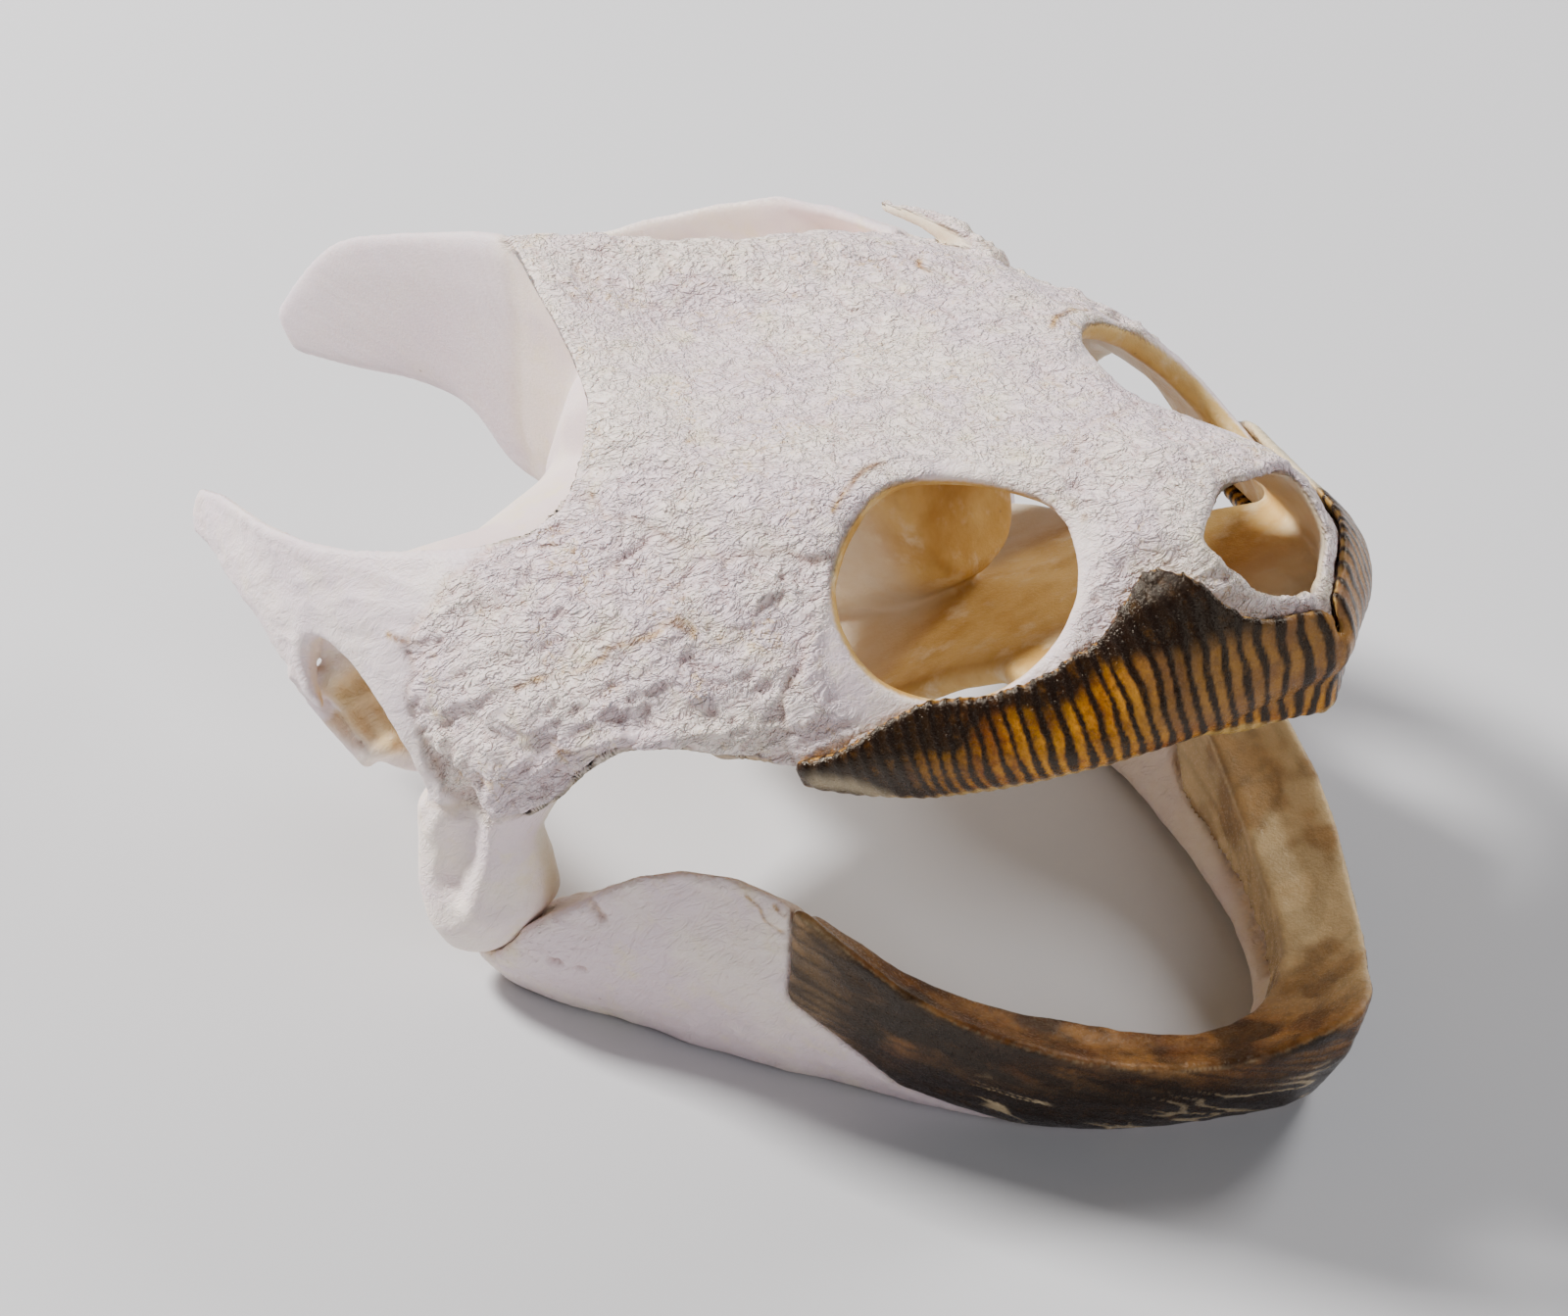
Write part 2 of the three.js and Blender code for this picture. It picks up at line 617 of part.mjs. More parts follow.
function add(group, name, body, colour) {
  const material = new THREE.MeshStandardMaterial({ color: colour, roughness: 0.6, metalness: 0 });
  const mesh = new THREE.Mesh(geometryOf(largest(body)), material);
  mesh.name = name;
  group.add(mesh);
}

const SIDES = { left: 1, right: -1 };

const skin = skinBones();
add(cranium, "cranium_roof", pieceAt(skin, [22, 0, 42]), COLOURS.bone);
add(cranium, "snout", pieceAt(skin, [69, 0, 22]), COLOURS.bone);
for (const [name, side] of Object.entries(SIDES)) {
  add(cranium, "squamosal_" + name, pieceAt(skin, [-22, side * 36, 26]), COLOURS.bone);
  add(cranium, "cheek_" + name, pieceAt(skin, [22, side * 38, 22]), COLOURS.bone);
  add(cranium, "maxilla_" + name, pieceAt(skin, [63, side * 17, 8]), COLOURS.bone);
}

const whole = interior().add(solid(crestBlade())).subtract(dermalFat);
let inside = partedBy(whole, bothSides(SUTURES.quadrate));
inside = inside.subtract(crossWall(CREST_SUTURE, -40, 40));
inside = inside.subtract(solid(prism([[-60, -31], [95, -31], [95, 31], [-60, 31]], PALATE_LEVEL, PALATE_LEVEL + GAP)));
add(cranium, "braincase", pieceAt(inside, [10, 0, 26]), COLOURS.innerBone);
add(cranium, "palate", pieceAt(inside, [30, 0, 8]), COLOURS.innerBone);
for (const [name, side] of Object.entries(SIDES))
  add(cranium, "quadrate_" + name, pieceAt(inside, [0, side * 40, 12]), COLOURS.bone);
add(cranium, "supraoccipital_crest", pieceAt(inside, [-38, 0, 42]), COLOURS.crest);
add(cranium, "beak_upper", beak().subtract(dermalFat).subtract(whole), COLOURS.horn);

const jaw = lowerJaw();
const tip = new THREE.Matrix4().makeRotationY(-THREE.MathUtils.degToRad(GAPE));
const condyle = quadrate(GAP).applyMatrix4(tip);
const jawBone = BOTH.reduce((body, side) => body.subtract(onSide(condyle, side)), jaw.bone);
const jawParts = partedBy(jawBone, bothSides(SUTURES.jawRear));
add(skull, "dentary", pieceAt(jawParts, [50, 0, -12]), COLOURS.bone);
for (const [name, side] of Object.entries(SIDES))
  add(skull, "jaw_rear_" + name, pieceAt(jawParts, [8, side * 38, -10]), COLOURS.bone);
add(skull, "beak_lower", jaw.horn, COLOURS.horn);

// Set down on the ground with the origin under the middle of the box
const box = new THREE.Box3().setFromObject(skull, true);
const middle = box.getCenter(new THREE.Vector3());
skull.position.set(-middle.x, -middle.y, -box.min.z);

export default skull;
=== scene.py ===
"""Skull of a large snapping turtle with its jaws agape, as a still museum model.

The bones and horn sheaths are grown over the CAD solids: each group of solids is read into a
distance field, fused and smoothed, turned into a fine mesh, and given pits, ridges and striae.
"""
import math
from types import SimpleNamespace

import bpy
import numpy as np
import openvdb
from mathutils import Matrix, Vector
from mathutils.bvhtree import BVHTree


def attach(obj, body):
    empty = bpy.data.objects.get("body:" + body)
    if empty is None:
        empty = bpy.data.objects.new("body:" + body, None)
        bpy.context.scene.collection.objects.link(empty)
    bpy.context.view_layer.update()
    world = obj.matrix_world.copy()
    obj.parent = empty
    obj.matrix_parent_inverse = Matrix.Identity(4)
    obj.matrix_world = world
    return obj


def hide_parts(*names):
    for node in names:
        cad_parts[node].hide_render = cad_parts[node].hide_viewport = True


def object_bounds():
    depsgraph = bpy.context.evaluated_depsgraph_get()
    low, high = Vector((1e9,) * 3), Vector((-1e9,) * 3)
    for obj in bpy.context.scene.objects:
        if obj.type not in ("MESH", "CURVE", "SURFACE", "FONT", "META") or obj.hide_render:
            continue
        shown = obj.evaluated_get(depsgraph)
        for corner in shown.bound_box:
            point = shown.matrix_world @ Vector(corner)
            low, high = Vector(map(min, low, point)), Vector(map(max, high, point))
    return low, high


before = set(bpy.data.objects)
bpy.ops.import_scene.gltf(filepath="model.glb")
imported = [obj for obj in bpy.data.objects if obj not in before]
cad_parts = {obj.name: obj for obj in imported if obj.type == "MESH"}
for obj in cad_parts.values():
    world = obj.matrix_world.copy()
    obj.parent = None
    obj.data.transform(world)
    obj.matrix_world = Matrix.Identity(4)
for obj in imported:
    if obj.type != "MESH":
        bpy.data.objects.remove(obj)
cad_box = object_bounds()

# Placement, in metres and degrees

HINGE = Vector((-0.004845, 0.0, 0.0192))  # the middle of the jaw joint, as in the CAD
GAPE = math.radians(27.6)
FLAKE_RISE = 22.0  # how steeply the flakes of the cheek rise towards the front
CRANIUM_TURN = np.array(Matrix.Rotation(GAPE, 3, "Y"))
HINGE_ARRAY = np.array(HINGE)
CAMERA_AXES = ((0.7848, 0.6194, 0.0223), (0.4178, -0.5021, -0.7572), (-0.4577, 0.6035, -0.6528))
CAMERA_DISTANCE = 0.72257
CAMERA_LENS = 152.0
CAMERA_SENSOR = 36.0
CAMERA_SHIFT = (0.0143, 0.0061)
PHOTO_SIZE = (1600, 1343)
FLOOR_HALF = 3.0
FLOOR_GAP = 0.0002  # how far the floor lies under the flats of the jaw

# Skins grown over the solids, in metres: the blur that fuses them, how far the skin then stands out,
# and the rounds of smoothing

VOXEL = 0.00038
BAND = 4  # voxels on each side of a surface that hold its distance
FIELD_MARGIN = 10  # voxels kept clear around the solids
ROD_MARGIN = 0.004
CRANIUM_SKIN = (0.0007, 0.0001, 40)
JAW_SKIN = (0.0006, 0.00005, 50)
UPPER_SKIN = (0.00065, 0.0001, 30)
LOWER_SKIN = (0.00045, 0.00016, 30)

BONE_NODES = [
    "cranium_roof", "snout", "squamosal_left", "squamosal_right", "cheek_left", "cheek_right",
    "maxilla_left", "maxilla_right", "quadrate_left", "quadrate_right", "braincase", "palate",
    "supraoccipital_crest",
]
JAW_NODES = ["dentary", "jaw_rear_left", "jaw_rear_right"]
SKIN_NODES = ("cranium_roof", "snout", "squamosal", "cheek", "maxilla")

# Places in the level frame of the cranium: forward and up, in millimetres from the hinge
HEAD_AXIS = (-20, 62, 14)  # the rear end, front end and height of the line through the head's middle
ORBIT = (57, 21.5)
EAR = (-14, 17)
CREST_FAN = (-14, 26)  # where the striae of the crest spread from

# Rods of bone that the CAD only hints at: the sliver on the far temple and the walls of the ears
SLIVER = [(26, 28.5, 33.6, 2.0), (22, 30.5, 35.8, 1.5), (15, 32.5, 37.9, 1.0), (8.3, 34, 38.8, 0.5)]
EAR_WALL = [
    [(-25, 39.5, 22, 1.1), (-23.5, 38.5, 16, 1.3), (-21.5, 38, 10.5, 1.0)],
    [(-22, 38, 20, 1.3), (-20.5, 37.5, 15, 1.4), (-19, 37.5, 11.5, 1.2)],
    [(-21.5, 38, 11, 1.1), (-16, 38, 12.5, 1.2)],
    [(-23, 38.5, 20, 1.6), (-19.5, 36.5, 22, 1.8), (-17, 35.5, 22, 1.4)],
    [(-21, 37.5, 17, 1.5), (-18, 36, 18, 1.4)],
]
EAR_WALLS = [[(x, side * y, z, r) for x, y, z, r in line] for line in EAR_WALL for side in (1, -1)]

# Features by the pixels of the photo that they run through: radius and height in millimetres
CRANIUM_FORMS = [
    (((451, 788), (470, 812), (477, 845), (468, 880), (460, 905)), 3.4, -1.3),  # groove of the quadrate
    (((446, 752), (452, 790), (449, 830), (438, 850)), 1.8, 0.4),  # its rear flange
    (((498, 770), (505, 820), (500, 880), (480, 930)), 2.6, 0.5),  # its front column
    (((1298, 590), (1335, 600), (1372, 598)), 2.2, 0.7),  # rough lump under the nostril
    (((196, 520), (204, 545)), 3.0, 0.6),  # knob of the squamosal
]
JAW_FORMS = [
    (((563, 980), (569, 981)), 0.9, -0.9),  # openings for nerves
    (((591, 987), (595, 988)), 0.7, -0.7),
    (((603, 924), (612, 936)), 1.4, -0.6),
    (((640, 898), (668, 886), (700, 880)), 1.6, 0.5),  # coronoid rim
    (((1205, 775), (1234, 835), (1266, 905), (1295, 985)), 2.2, -0.8),  # inner groove of the far side
    (((1232, 795), (1266, 882), (1303, 1000)), 1.4, 0.35),
]
CRACKS = [
    ((527, 702), (550, 692), (572, 686), (592, 682), (612, 673), (623, 662), (645, 655), (663, 650),
     (692, 631)),
    ((692, 631), (702, 640), (709, 645)),
    ((396, 648), (415, 656), (428, 660), (441, 670)),
    ((555, 764), (575, 768), (601, 776)),
    ((715, 697), (724, 700), (731, 706)),
    ((689, 638), (700, 641), (708, 648)),
    ((702, 448), (715, 443), (735, 445)),
    ((900, 470), (880, 480), (862, 500), (850, 520)),
]
JAW_CRACKS = [
    ((762, 915), (775, 925), (782, 940), (798, 952)),
    ((748, 900), (760, 906), (778, 905)),
    ((790, 925), (800, 935), (812, 938)),
]
SPECKS = [
    (850, 520), (1095, 515), (1107, 528), (697, 611), (1112, 350), (603, 505), (585, 560), (760, 690),
]
PEELED = ((836, 798), (870, 802), (900, 812))  # where the upper sheath has lost its surface

# The upper sheath, in millimetres from the hinge: its cutting edge forward and up, the middle and
# radius of its bow, and how far apart its stripes are
UPPER_EDGE = (
    (39.5, 45, 51.5, 58, 64, 69, 73, 76.6, 78, 78.8), (8.6, 5.2, 2.9, 2, 1.8, 1.7, 1.4, 0.2, -1.3, -3.2),
)
UPPER_BOW = (42, 34)
STRIPE_SPACING = 1.6

# The lower sheath, in metres: its halves run straight up to the arch and then bend round together
JAW_ARCH = 0.04
JAW_BEND = 0.03


# Noise, all seeded

CELL_PRIMES = (np.uint64(374761393), np.uint64(668265263), np.uint64(2246822519))
SEED_PRIME = 3266489917
SCRAMBLES = ((np.uint64(13), np.uint64(1274126177)), (np.uint64(15), np.uint64(2246822519)))
LAST_SHIFT = np.uint64(16)
WORD = np.uint64(0xFFFFFFFF)
CORNERS = [(i, j, k) for i in (0, 1) for j in (0, 1) for k in (0, 1)]
NEIGHBOURS = [(i, j, k) for i in (-1, 0, 1) for j in (-1, 0, 1) for k in (-1, 0, 1)]
OFFSET = 4096  # keeps lattice cells positive


def smoothstep(low, high, value):
    t = np.clip((value - low) / (high - low), 0, 1)
    return t * t * (3 - 2 * t)


def lattice(cells, seed):
    """Random numbers from 0 to 1 for whole-numbered cells."""
    x, y, z = (cells[:, k].astype(np.uint64) * CELL_PRIMES[k] for k in range(3))
    h = (x + y + z + np.uint64(seed * SEED_PRIME)) & WORD
    for shift, prime in SCRAMBLES:
        h = ((h ^ (h >> shift)) * prime) & WORD
    return (h ^ (h >> LAST_SHIFT)).astype(np.float64) / float(WORD)


def noise(points, size, seed):
    """Smooth value noise from -1 to 1 whose grains are size metres across."""
    p = points / size + OFFSET
    base = np.floor(p)
    f = p - base
    f = f * f * (3 - 2 * f)
    cells = base.astype(np.int64)
    total = np.zeros(len(points))
    for corner in CORNERS:
        weight = np.ones(len(points))
        for k in range(3):
            weight *= f[:, k] if corner[k] else 1 - f[:, k]
        total += weight * lattice(cells + np.array(corner), seed)
    return total * 2 - 1


def fbm(points, size, seed, octaves=3, gain=0.5):
    """Noise of several sizes added up, each half the size of the one before."""
    total = np.zeros(len(points))
    scale = 1.0
    norm = 0.0
    for k in range(octaves):
        total += scale * noise(points, size / 2**k, seed + 7 * k)
        norm += scale
        scale *= gain
    return total / norm


def warped(points, size, amount, seed):
    """Points moved about by noise, so that what is read there wanders."""
    shift = np.stack([noise(points, size, seed + k) for k in range(3)], axis=1)
    return points + shift * amount


def ridges(points, size, seed):
    """Winding ridges: 1 on their tops, 0 in the valleys."""
    return 1 - np.abs(noise(points, size, seed)) * 2.2


def pits(points, spacing, radius, seed):
    """Round pits strewn about: 1 in the middle of a pit, 0 outside."""
    p = points / spacing + OFFSET
    base = np.floor(p).astype(np.int64)
    depth = np.zeros(len(points))
    for step in NEIGHBOURS:
        cell = base + np.array(step)
        spot = np.stack([lattice(cell, seed + 11 + a) for a in range(3)], axis=1) + cell
        size = 0.45 + 0.55 * lattice(cell, seed + 20)
        far = np.linalg.norm(p - spot, axis=1) * spacing / (radius * size)
        depth = np.maximum(depth, np.clip(1 - far, 0, 1) * size)
    return depth


def flakes(points, size, steps, seed):
    """Overlapping flakes: smooth noise cut into steps with sharp risers, from 0 to 1."""
    level = (fbm(points, size, seed, 3, 0.45) * 0.5 + 0.5) * steps
    whole = np.floor(level)
    return (whole + smoothstep(0.55, 1.0, level - whole)) / steps


# Meshes from the CAD solids


def node_mesh(name):
    """The points and triangles of a CAD node."""
    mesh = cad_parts[name].data
    mesh.calc_loop_triangles()
    points = np.empty(len(mesh.vertices) * 3, np.float32)
    mesh.vertices.foreach_get("co", points)
    triangles = np.empty(len(mesh.loop_triangles) * 3, np.int32)
    mesh.loop_triangles.foreach_get("vertices", triangles)
    return points.reshape(-1, 3), triangles.reshape(-1, 3)


def joined(names):
    """All the named nodes as one soup of triangles, with the number of the node of each."""
    points, triangles, owner = [], [], []
    start = 0
    for number, name in enumerate(names):
        p, t = node_mesh(name)
        points.append(p)
        triangles.append(t + start)
        owner.append(np.full(len(t), number))
        start += len(p)
    return np.concatenate(points), np.concatenate(triangles), np.concatenate(owner)


def blurred(field, sigma):
    """Gaussian blur of a voxel field along its three axes."""
    reach = max(1, int(round(2.5 * sigma)))
    weights = np.exp(-0.5 * (np.arange(-reach, reach + 1) / sigma) ** 2)
    weights = (weights / weights.sum()).astype(np.float32)
    for axis in range(3):
        out = np.zeros_like(field)
        for weight, step in zip(weights, range(-reach, reach + 1)):
            out += weight * np.roll(field, step, axis=axis)
        field = out
    return field


def add_rod(field, low, line):
    """Joins a tapered rod to a voxel field. The line holds x, y, z and radius at each point, in
    millimetres in the level frame of the cranium."""
    spots = np.array(line)
    world = spots[:, :3] / 1000 @ CRANIUM_TURN + HINGE_ARRAY
    radii = spots[:, 3] / 1000
    start = np.floor((world.min(axis=0) - ROD_MARGIN) / VOXEL).astype(int) - low
    stop = np.ceil((world.max(axis=0) + ROD_MARGIN) / VOXEL).astype(int) - low
    part = tuple(slice(a, b) for a, b in zip(start, stop))
    ranges = [np.arange(a, b) + first for a, b, first in zip(start, stop, low)]
    place = np.stack(np.meshgrid(*ranges, indexing="ij"), axis=-1) * VOXEL
    for k in range(len(world) - 1):
        along = world[k + 1] - world[k]
        t = np.clip((place - world[k]) @ along / (along @ along), 0, 1)
        far = np.linalg.norm(place - world[k] - t[..., None] * along, axis=-1)
        field[part] = np.minimum(field[part], far - radii[k] - t * (radii[k + 1] - radii[k]))


def grown_skin(points, triangles, sigma, swell, rods):
    """A fine closed mesh of quads over a soup of closed solids, fused and smoothed.
    sigma is the blur in metres, swell how far the skin then stands out, rods are joined on."""
    transform = openvdb.createLinearTransform(voxelSize=VOXEL)
    grid = openvdb.FloatGrid.createLevelSetFromPolygons(
        points.astype(np.float32), triangles=triangles.astype(np.uint32), transform=transform,
        halfWidth=BAND,
    )
    low = np.floor(points.min(axis=0) / VOXEL).astype(int) - FIELD_MARGIN
    high = np.ceil(points.max(axis=0) / VOXEL).astype(int) + FIELD_MARGIN
    field = np.empty(tuple(high - low + 1), np.float32)
    grid.copyToArray(field, ijk=tuple(int(v) for v in low))
    field = blurred(field, sigma / VOXEL)
    for line in rods:
        add_rod(field, low, line)
    out = openvdb.FloatGrid(BAND * VOXEL)
    out.transform = transform
    out.copyFromArray(field, ijk=tuple(int(v) for v in low))
    verts, quads = out.convertToQuads(isovalue=swell)
    return verts.astype(np.float64), quads.astype(np.int64)


class Net:
    """Neighbours of each vertex of a mesh of quads, for smoothing and spreading values."""

    def __init__(self, quads, count):
        edges = np.concatenate([quads[:, [0, 1]], quads[:, [1, 2]], quads[:, [2, 3]], quads[:, [3, 0]]])
        edges = np.unique(np.sort(edges, axis=1), axis=0)
        ends = np.concatenate([edges, edges[:, ::-1]])
        ends = ends[np.argsort(ends[:, 0], kind="stable")]
        self.other = ends[:, 1]
        self.degree = np.bincount(ends[:, 0], minlength=count)
        self.start = np.concatenate([[0], np.cumsum(self.degree)[:-1]])
        self.quads = quads

    def mean(self, values):
        total = np.add.reduceat(values[self.other], self.start, axis=0)
        degree = self.degree if values.ndim == 1 else self.degree[:, None]
        return total / degree

    def smooth(self, values, rounds):
        for _ in range(rounds):
            values = 0.5 * values + 0.5 * self.mean(values)
        return values

    def relax(self, verts, rounds):
        """Smooths the surface without shrinking it: a step in, then one out that is a little longer."""
        for _ in range(rounds):
            verts = verts + 0.5 * (self.mean(verts) - verts)
            verts = verts - 0.525 * (self.mean(verts) - verts)
        return verts

    def normals(self, verts):
        q = self.quads
        face = np.cross(verts[q[:, 2]] - verts[q[:, 0]], verts[q[:, 3]] - verts[q[:, 1]])
        sums = [sum(np.bincount(q[:, k], face[:, a], len(verts)) for k in range(4)) for a in range(3)]
        total = np.stack(sums, axis=1)
        return total / np.maximum(np.linalg.norm(total, axis=1), 1e-20)[:, None]


def biggest(verts, quads):
    """Keeps the largest connected surface."""
    label = np.arange(len(verts))
    while True:
        low = label[quads].min(axis=1)
        new = label.copy()
        for k in range(4):
            np.minimum.at(new, quads[:, k], low)
        new = new[new]
        if (new == label).all():
            break
        label = new
    names, counts = np.unique(label, return_counts=True)
    keep = label == names[counts.argmax()]
    index = np.cumsum(keep) - 1
    return verts[keep], index[quads[keep[quads[:, 0]]]]


class Skin:
    """The named nodes grown into one smooth closed mesh of quads. tree is the nodes' own surface,
    owner the number of the node of each of its triangles, and floor their lowest level."""

    def __init__(self, names, measures, rods=()):
        sigma, swell, rounds = measures
        points, triangles, self.owner = joined(names)
        verts, self.quads = biggest(*grown_skin(points, triangles, sigma, swell, rods))
        self.net = Net(self.quads, len(verts))
        self.verts = self.net.relax(verts, rounds)
        self.tree = BVHTree.FromPolygons(points.tolist(), triangles.tolist())
        self.floor = points[:, 2].min()


def displaced(verts, normals, height):
    """Vertices moved out along their normals by a height in millimetres."""
    return verts + normals * (height / 1000)[:, None]


def proud(net, verts, normals, rounds):
    """How far each vertex stands out of its smoothed surroundings, in millimetres."""
    return ((verts - net.smooth(verts, rounds)) * normals).sum(axis=1) * 1000


def rim_mask(net, verts, normals, rounds=10):
    """1 along thin rims, where the surface turns back sharply."""
    return smoothstep(0.12, 0.4, proud(net, verts, normals, rounds))


def owners(points, tree, owner):
    """The number of the node whose surface is nearest to each point."""
    find = tree.find_nearest
    faces = np.array([find(p)[2] for p in points.tolist()])
    return owner[faces]


def make_object(name, verts, quads, values, material):
    """A smooth-shaded object whose mesh carries the values that its material reads."""
    mesh = bpy.data.meshes.new(name)
    mesh.vertices.add(len(verts))
    mesh.vertices.foreach_set("co", verts.astype(np.float32).ravel())
    mesh.loops.add(quads.size)
    mesh.loops.foreach_set("vertex_index", quads.astype(np.int32).ravel())
    mesh.polygons.add(len(quads))
    mesh.polygons.foreach_set("loop_start", np.arange(0, quads.size, 4, dtype=np.int32))
    mesh.polygons.foreach_set("loop_total", np.full(len(quads), 4, np.int32))
    mesh.update(calc_edges=True)
    mesh.validate()
    mesh.shade_smooth()
    for key, value in values.items():
        layer = mesh.attributes.new(key, "FLOAT", "POINT")
        layer.data.foreach_set("value", np.clip(value, 0, 1).astype(np.float32))
    mesh.materials.append(material)
    piece = bpy.data.objects.new(name, mesh)
    bpy.context.scene.collection.objects.link(piece)
    return piece


# Places on the skull


def to_cranium(points):
    """Points in the level frame of the cranium, in millimetres from the hinge."""
    return (points - HINGE_ARRAY) @ CRANIUM_TURN.T * 1000


def turned(points, degrees, axis):
    """Points with their first coordinate measured along a line turned towards another axis."""
    a = math.radians(degrees)
    out = points.copy()
    out[:, 0] = points[:, 0] * math.cos(a) + points[:, axis] * math.sin(a)
    out[:, axis] = points[:, axis] * math.cos(a) - points[:, 0] * math.sin(a)
    return out


def camera_ray(u, v):
    """Start and direction of the ray through a pixel of the photo."""
    right, down, forward = (Vector(row) for row in CAMERA_AXES)
    eye = HINGE - forward * CAMERA_DISTANCE
    width, height = PHOTO_SIZE
    focal = CAMERA_LENS / CAMERA_SENSOR * width
    x = (u - width / 2) / focal + CAMERA_SHIFT[0] * width / focal
    y = (v - height / 2) / focal - CAMERA_SHIFT[1] * width / focal
    return eye, (forward + right * x + down * y).normalized()


def on_surface(tree, pixel):
    """The point of a surface that shows at a pixel of the photo."""
    eye, direction = camera_ray(*pixel)
    hit = tree.ray_cast(eye, direction)[0]
    return None if hit is None else np.array(hit)


def traced(tree, pixels, step=6):
    """Points of a surface along a line of pixels, close together."""
    spots = []
    for a, b in zip(pixels, pixels[1:]):
        count = max(1, int(math.dist(a, b) / step))
        for k in range(count + 1):
            pixel = (a[0] + (b[0] - a[0]) * k / count, a[1] + (b[1] - a[1]) * k / count)
            spot = on_surface(tree, pixel)
            if spot is not None:
                spots.append(spot)
    return spots


def closeness(verts, spots, radius):
    """1 at the spots and at their mirror images, falling to 0 at radius metres."""
    value = np.zeros(len(verts))
    for spot in spots:
        for side in (1, -1):
            centre = spot * (1, side, 1)
            near = np.flatnonzero(np.abs(verts - centre).max(axis=1) < radius)
            far = np.linalg.norm(verts[near] - centre, axis=1) / radius
            value[near] = np.maximum(value[near], smoothstep(1.0, 0.0, far))
    return value


def formed(verts, normals, tree, forms):
    """Moves vertices out or in along their normals where the forms run."""
    for pixels, radius, height in forms:
        amount = closeness(verts, traced(tree, pixels), radius / 1000)
        verts = displaced(verts, normals, amount * height)
    return verts


def crack_lines(verts, tree, lines, radius):
    """1 along the cracks, falling to 0 at radius metres."""
    value = np.zeros(len(verts))
    for line in lines:
        value = np.maximum(value, closeness(verts, traced(tree, line, 3), radius))
    return value


# Materials

MIX_FIRST = 6  # the mix node's first colour input; the second one follows
MIX_RESULT = 2


class Shader:
    """A small helper that makes shader nodes and joins them."""

    def __init__(self, name):
        self.material = bpy.data.materials.new(name)
        self.material.use_nodes = True
        self.tree = self.material.node_tree
        self.bsdf = self.tree.nodes["Principled BSDF"]
        self.place = self.node("ShaderNodeTexCoord").outputs["Object"]

    def node(self, kind, inputs=None, **settings):
        made = self.tree.nodes.new(kind)
        for key, value in settings.items():
            setattr(made, key, value)
        for key, value in (inputs or {}).items():
            self.put(made.inputs[key], value)
        return made

    def put(self, socket, value):
        if isinstance(value, bpy.types.NodeSocket):
            self.tree.links.new(value, socket)
        else:
            socket.default_value = value

    def attribute(self, name):
        return self.node("ShaderNodeAttribute", attribute_name=name).outputs["Fac"]

    def noise(self, size, detail, rough=0.55, distortion=0.0, place=None):
        inputs = {"Vector": place or self.place, "Scale": 1 / size, "Detail": detail}
        inputs.update({"Roughness": rough, "Distortion": distortion})
        return self.node("ShaderNodeTexNoise", inputs).outputs["Fac"]

    def cells(self, size):
        """Distance from the middles of cells strewn about."""
        inputs = {"Vector": self.place, "Scale": 1 / size}
        return self.node("ShaderNodeTexVoronoi", inputs, feature="F1").outputs["Distance"]

    def stretched(self, scale, turn):
        inputs = {"Vector": self.place, "Scale": scale, "Rotation": turn}
        return self.node("ShaderNodeMapping", inputs, vector_type="TEXTURE").outputs["Vector"]

    def ramp(self, value, low, high, out_low=0.0, out_high=1.0):
        inputs = {"Value": value, "From Min": low, "From Max": high, "To Min": out_low, "To Max": out_high}
        return self.node("ShaderNodeMapRange", inputs, interpolation_type="SMOOTHSTEP").outputs["Result"]

    def clouds(self, size, detail, rough, low, high, out_low=0.0, out_high=1.0):
        """Noise sharpened into patches."""
        return self.ramp(self.noise(size, detail, rough), low, high, out_low, out_high)

    def terraces(self, value, steps):
        """Cuts a smooth value into steps with sharp risers."""
        level = self.times(value, float(steps))
        whole = self.maths("FLOOR", level, 0)
        rise = self.ramp(self.maths("FRACT", level, 0), 0.5, 1.0)
        return self.maths("DIVIDE", self.plus(whole, rise), float(steps))

    def maths(self, operation, a, b):
        made = self.node("ShaderNodeMath", operation=operation)
        self.put(made.inputs[0], a)
        self.put(made.inputs[1], b)
        return made.outputs[0]

    def times(self, a, b):
        return self.maths("MULTIPLY", a, b)

    def plus(self, a, b):
        return self.maths("ADD", a, b)

    def mix(self, amount, a, b):
        made = self.node("ShaderNodeMix", {"Factor": amount}, data_type="RGBA")
        self.put(made.inputs[MIX_FIRST], a)
        self.put(made.inputs[MIX_FIRST + 1], b)
        return made.outputs[MIX_RESULT]

    def bump(self, height, distance, strength):
        inputs = {"Height": height, "Distance": distance, "Strength": strength}
        return self.node("ShaderNodeBump", inputs).outputs["Normal"]

    def finish(self, **inputs):
        for key, value in inputs.items():
            self.put(self.bsdf.inputs[key.replace("_", " ")], value)
        return self.material


def rgb(red, green, blue):
    """A colour from sRGB numbers of 0 to 255."""
    def linear(value):
        value /= 255
        return value / 12.92 if value <= 0.04045 else ((value + 0.055) / 1.055) ** 2.4
    return (linear(red), linear(green), linear(blue), 1.0)


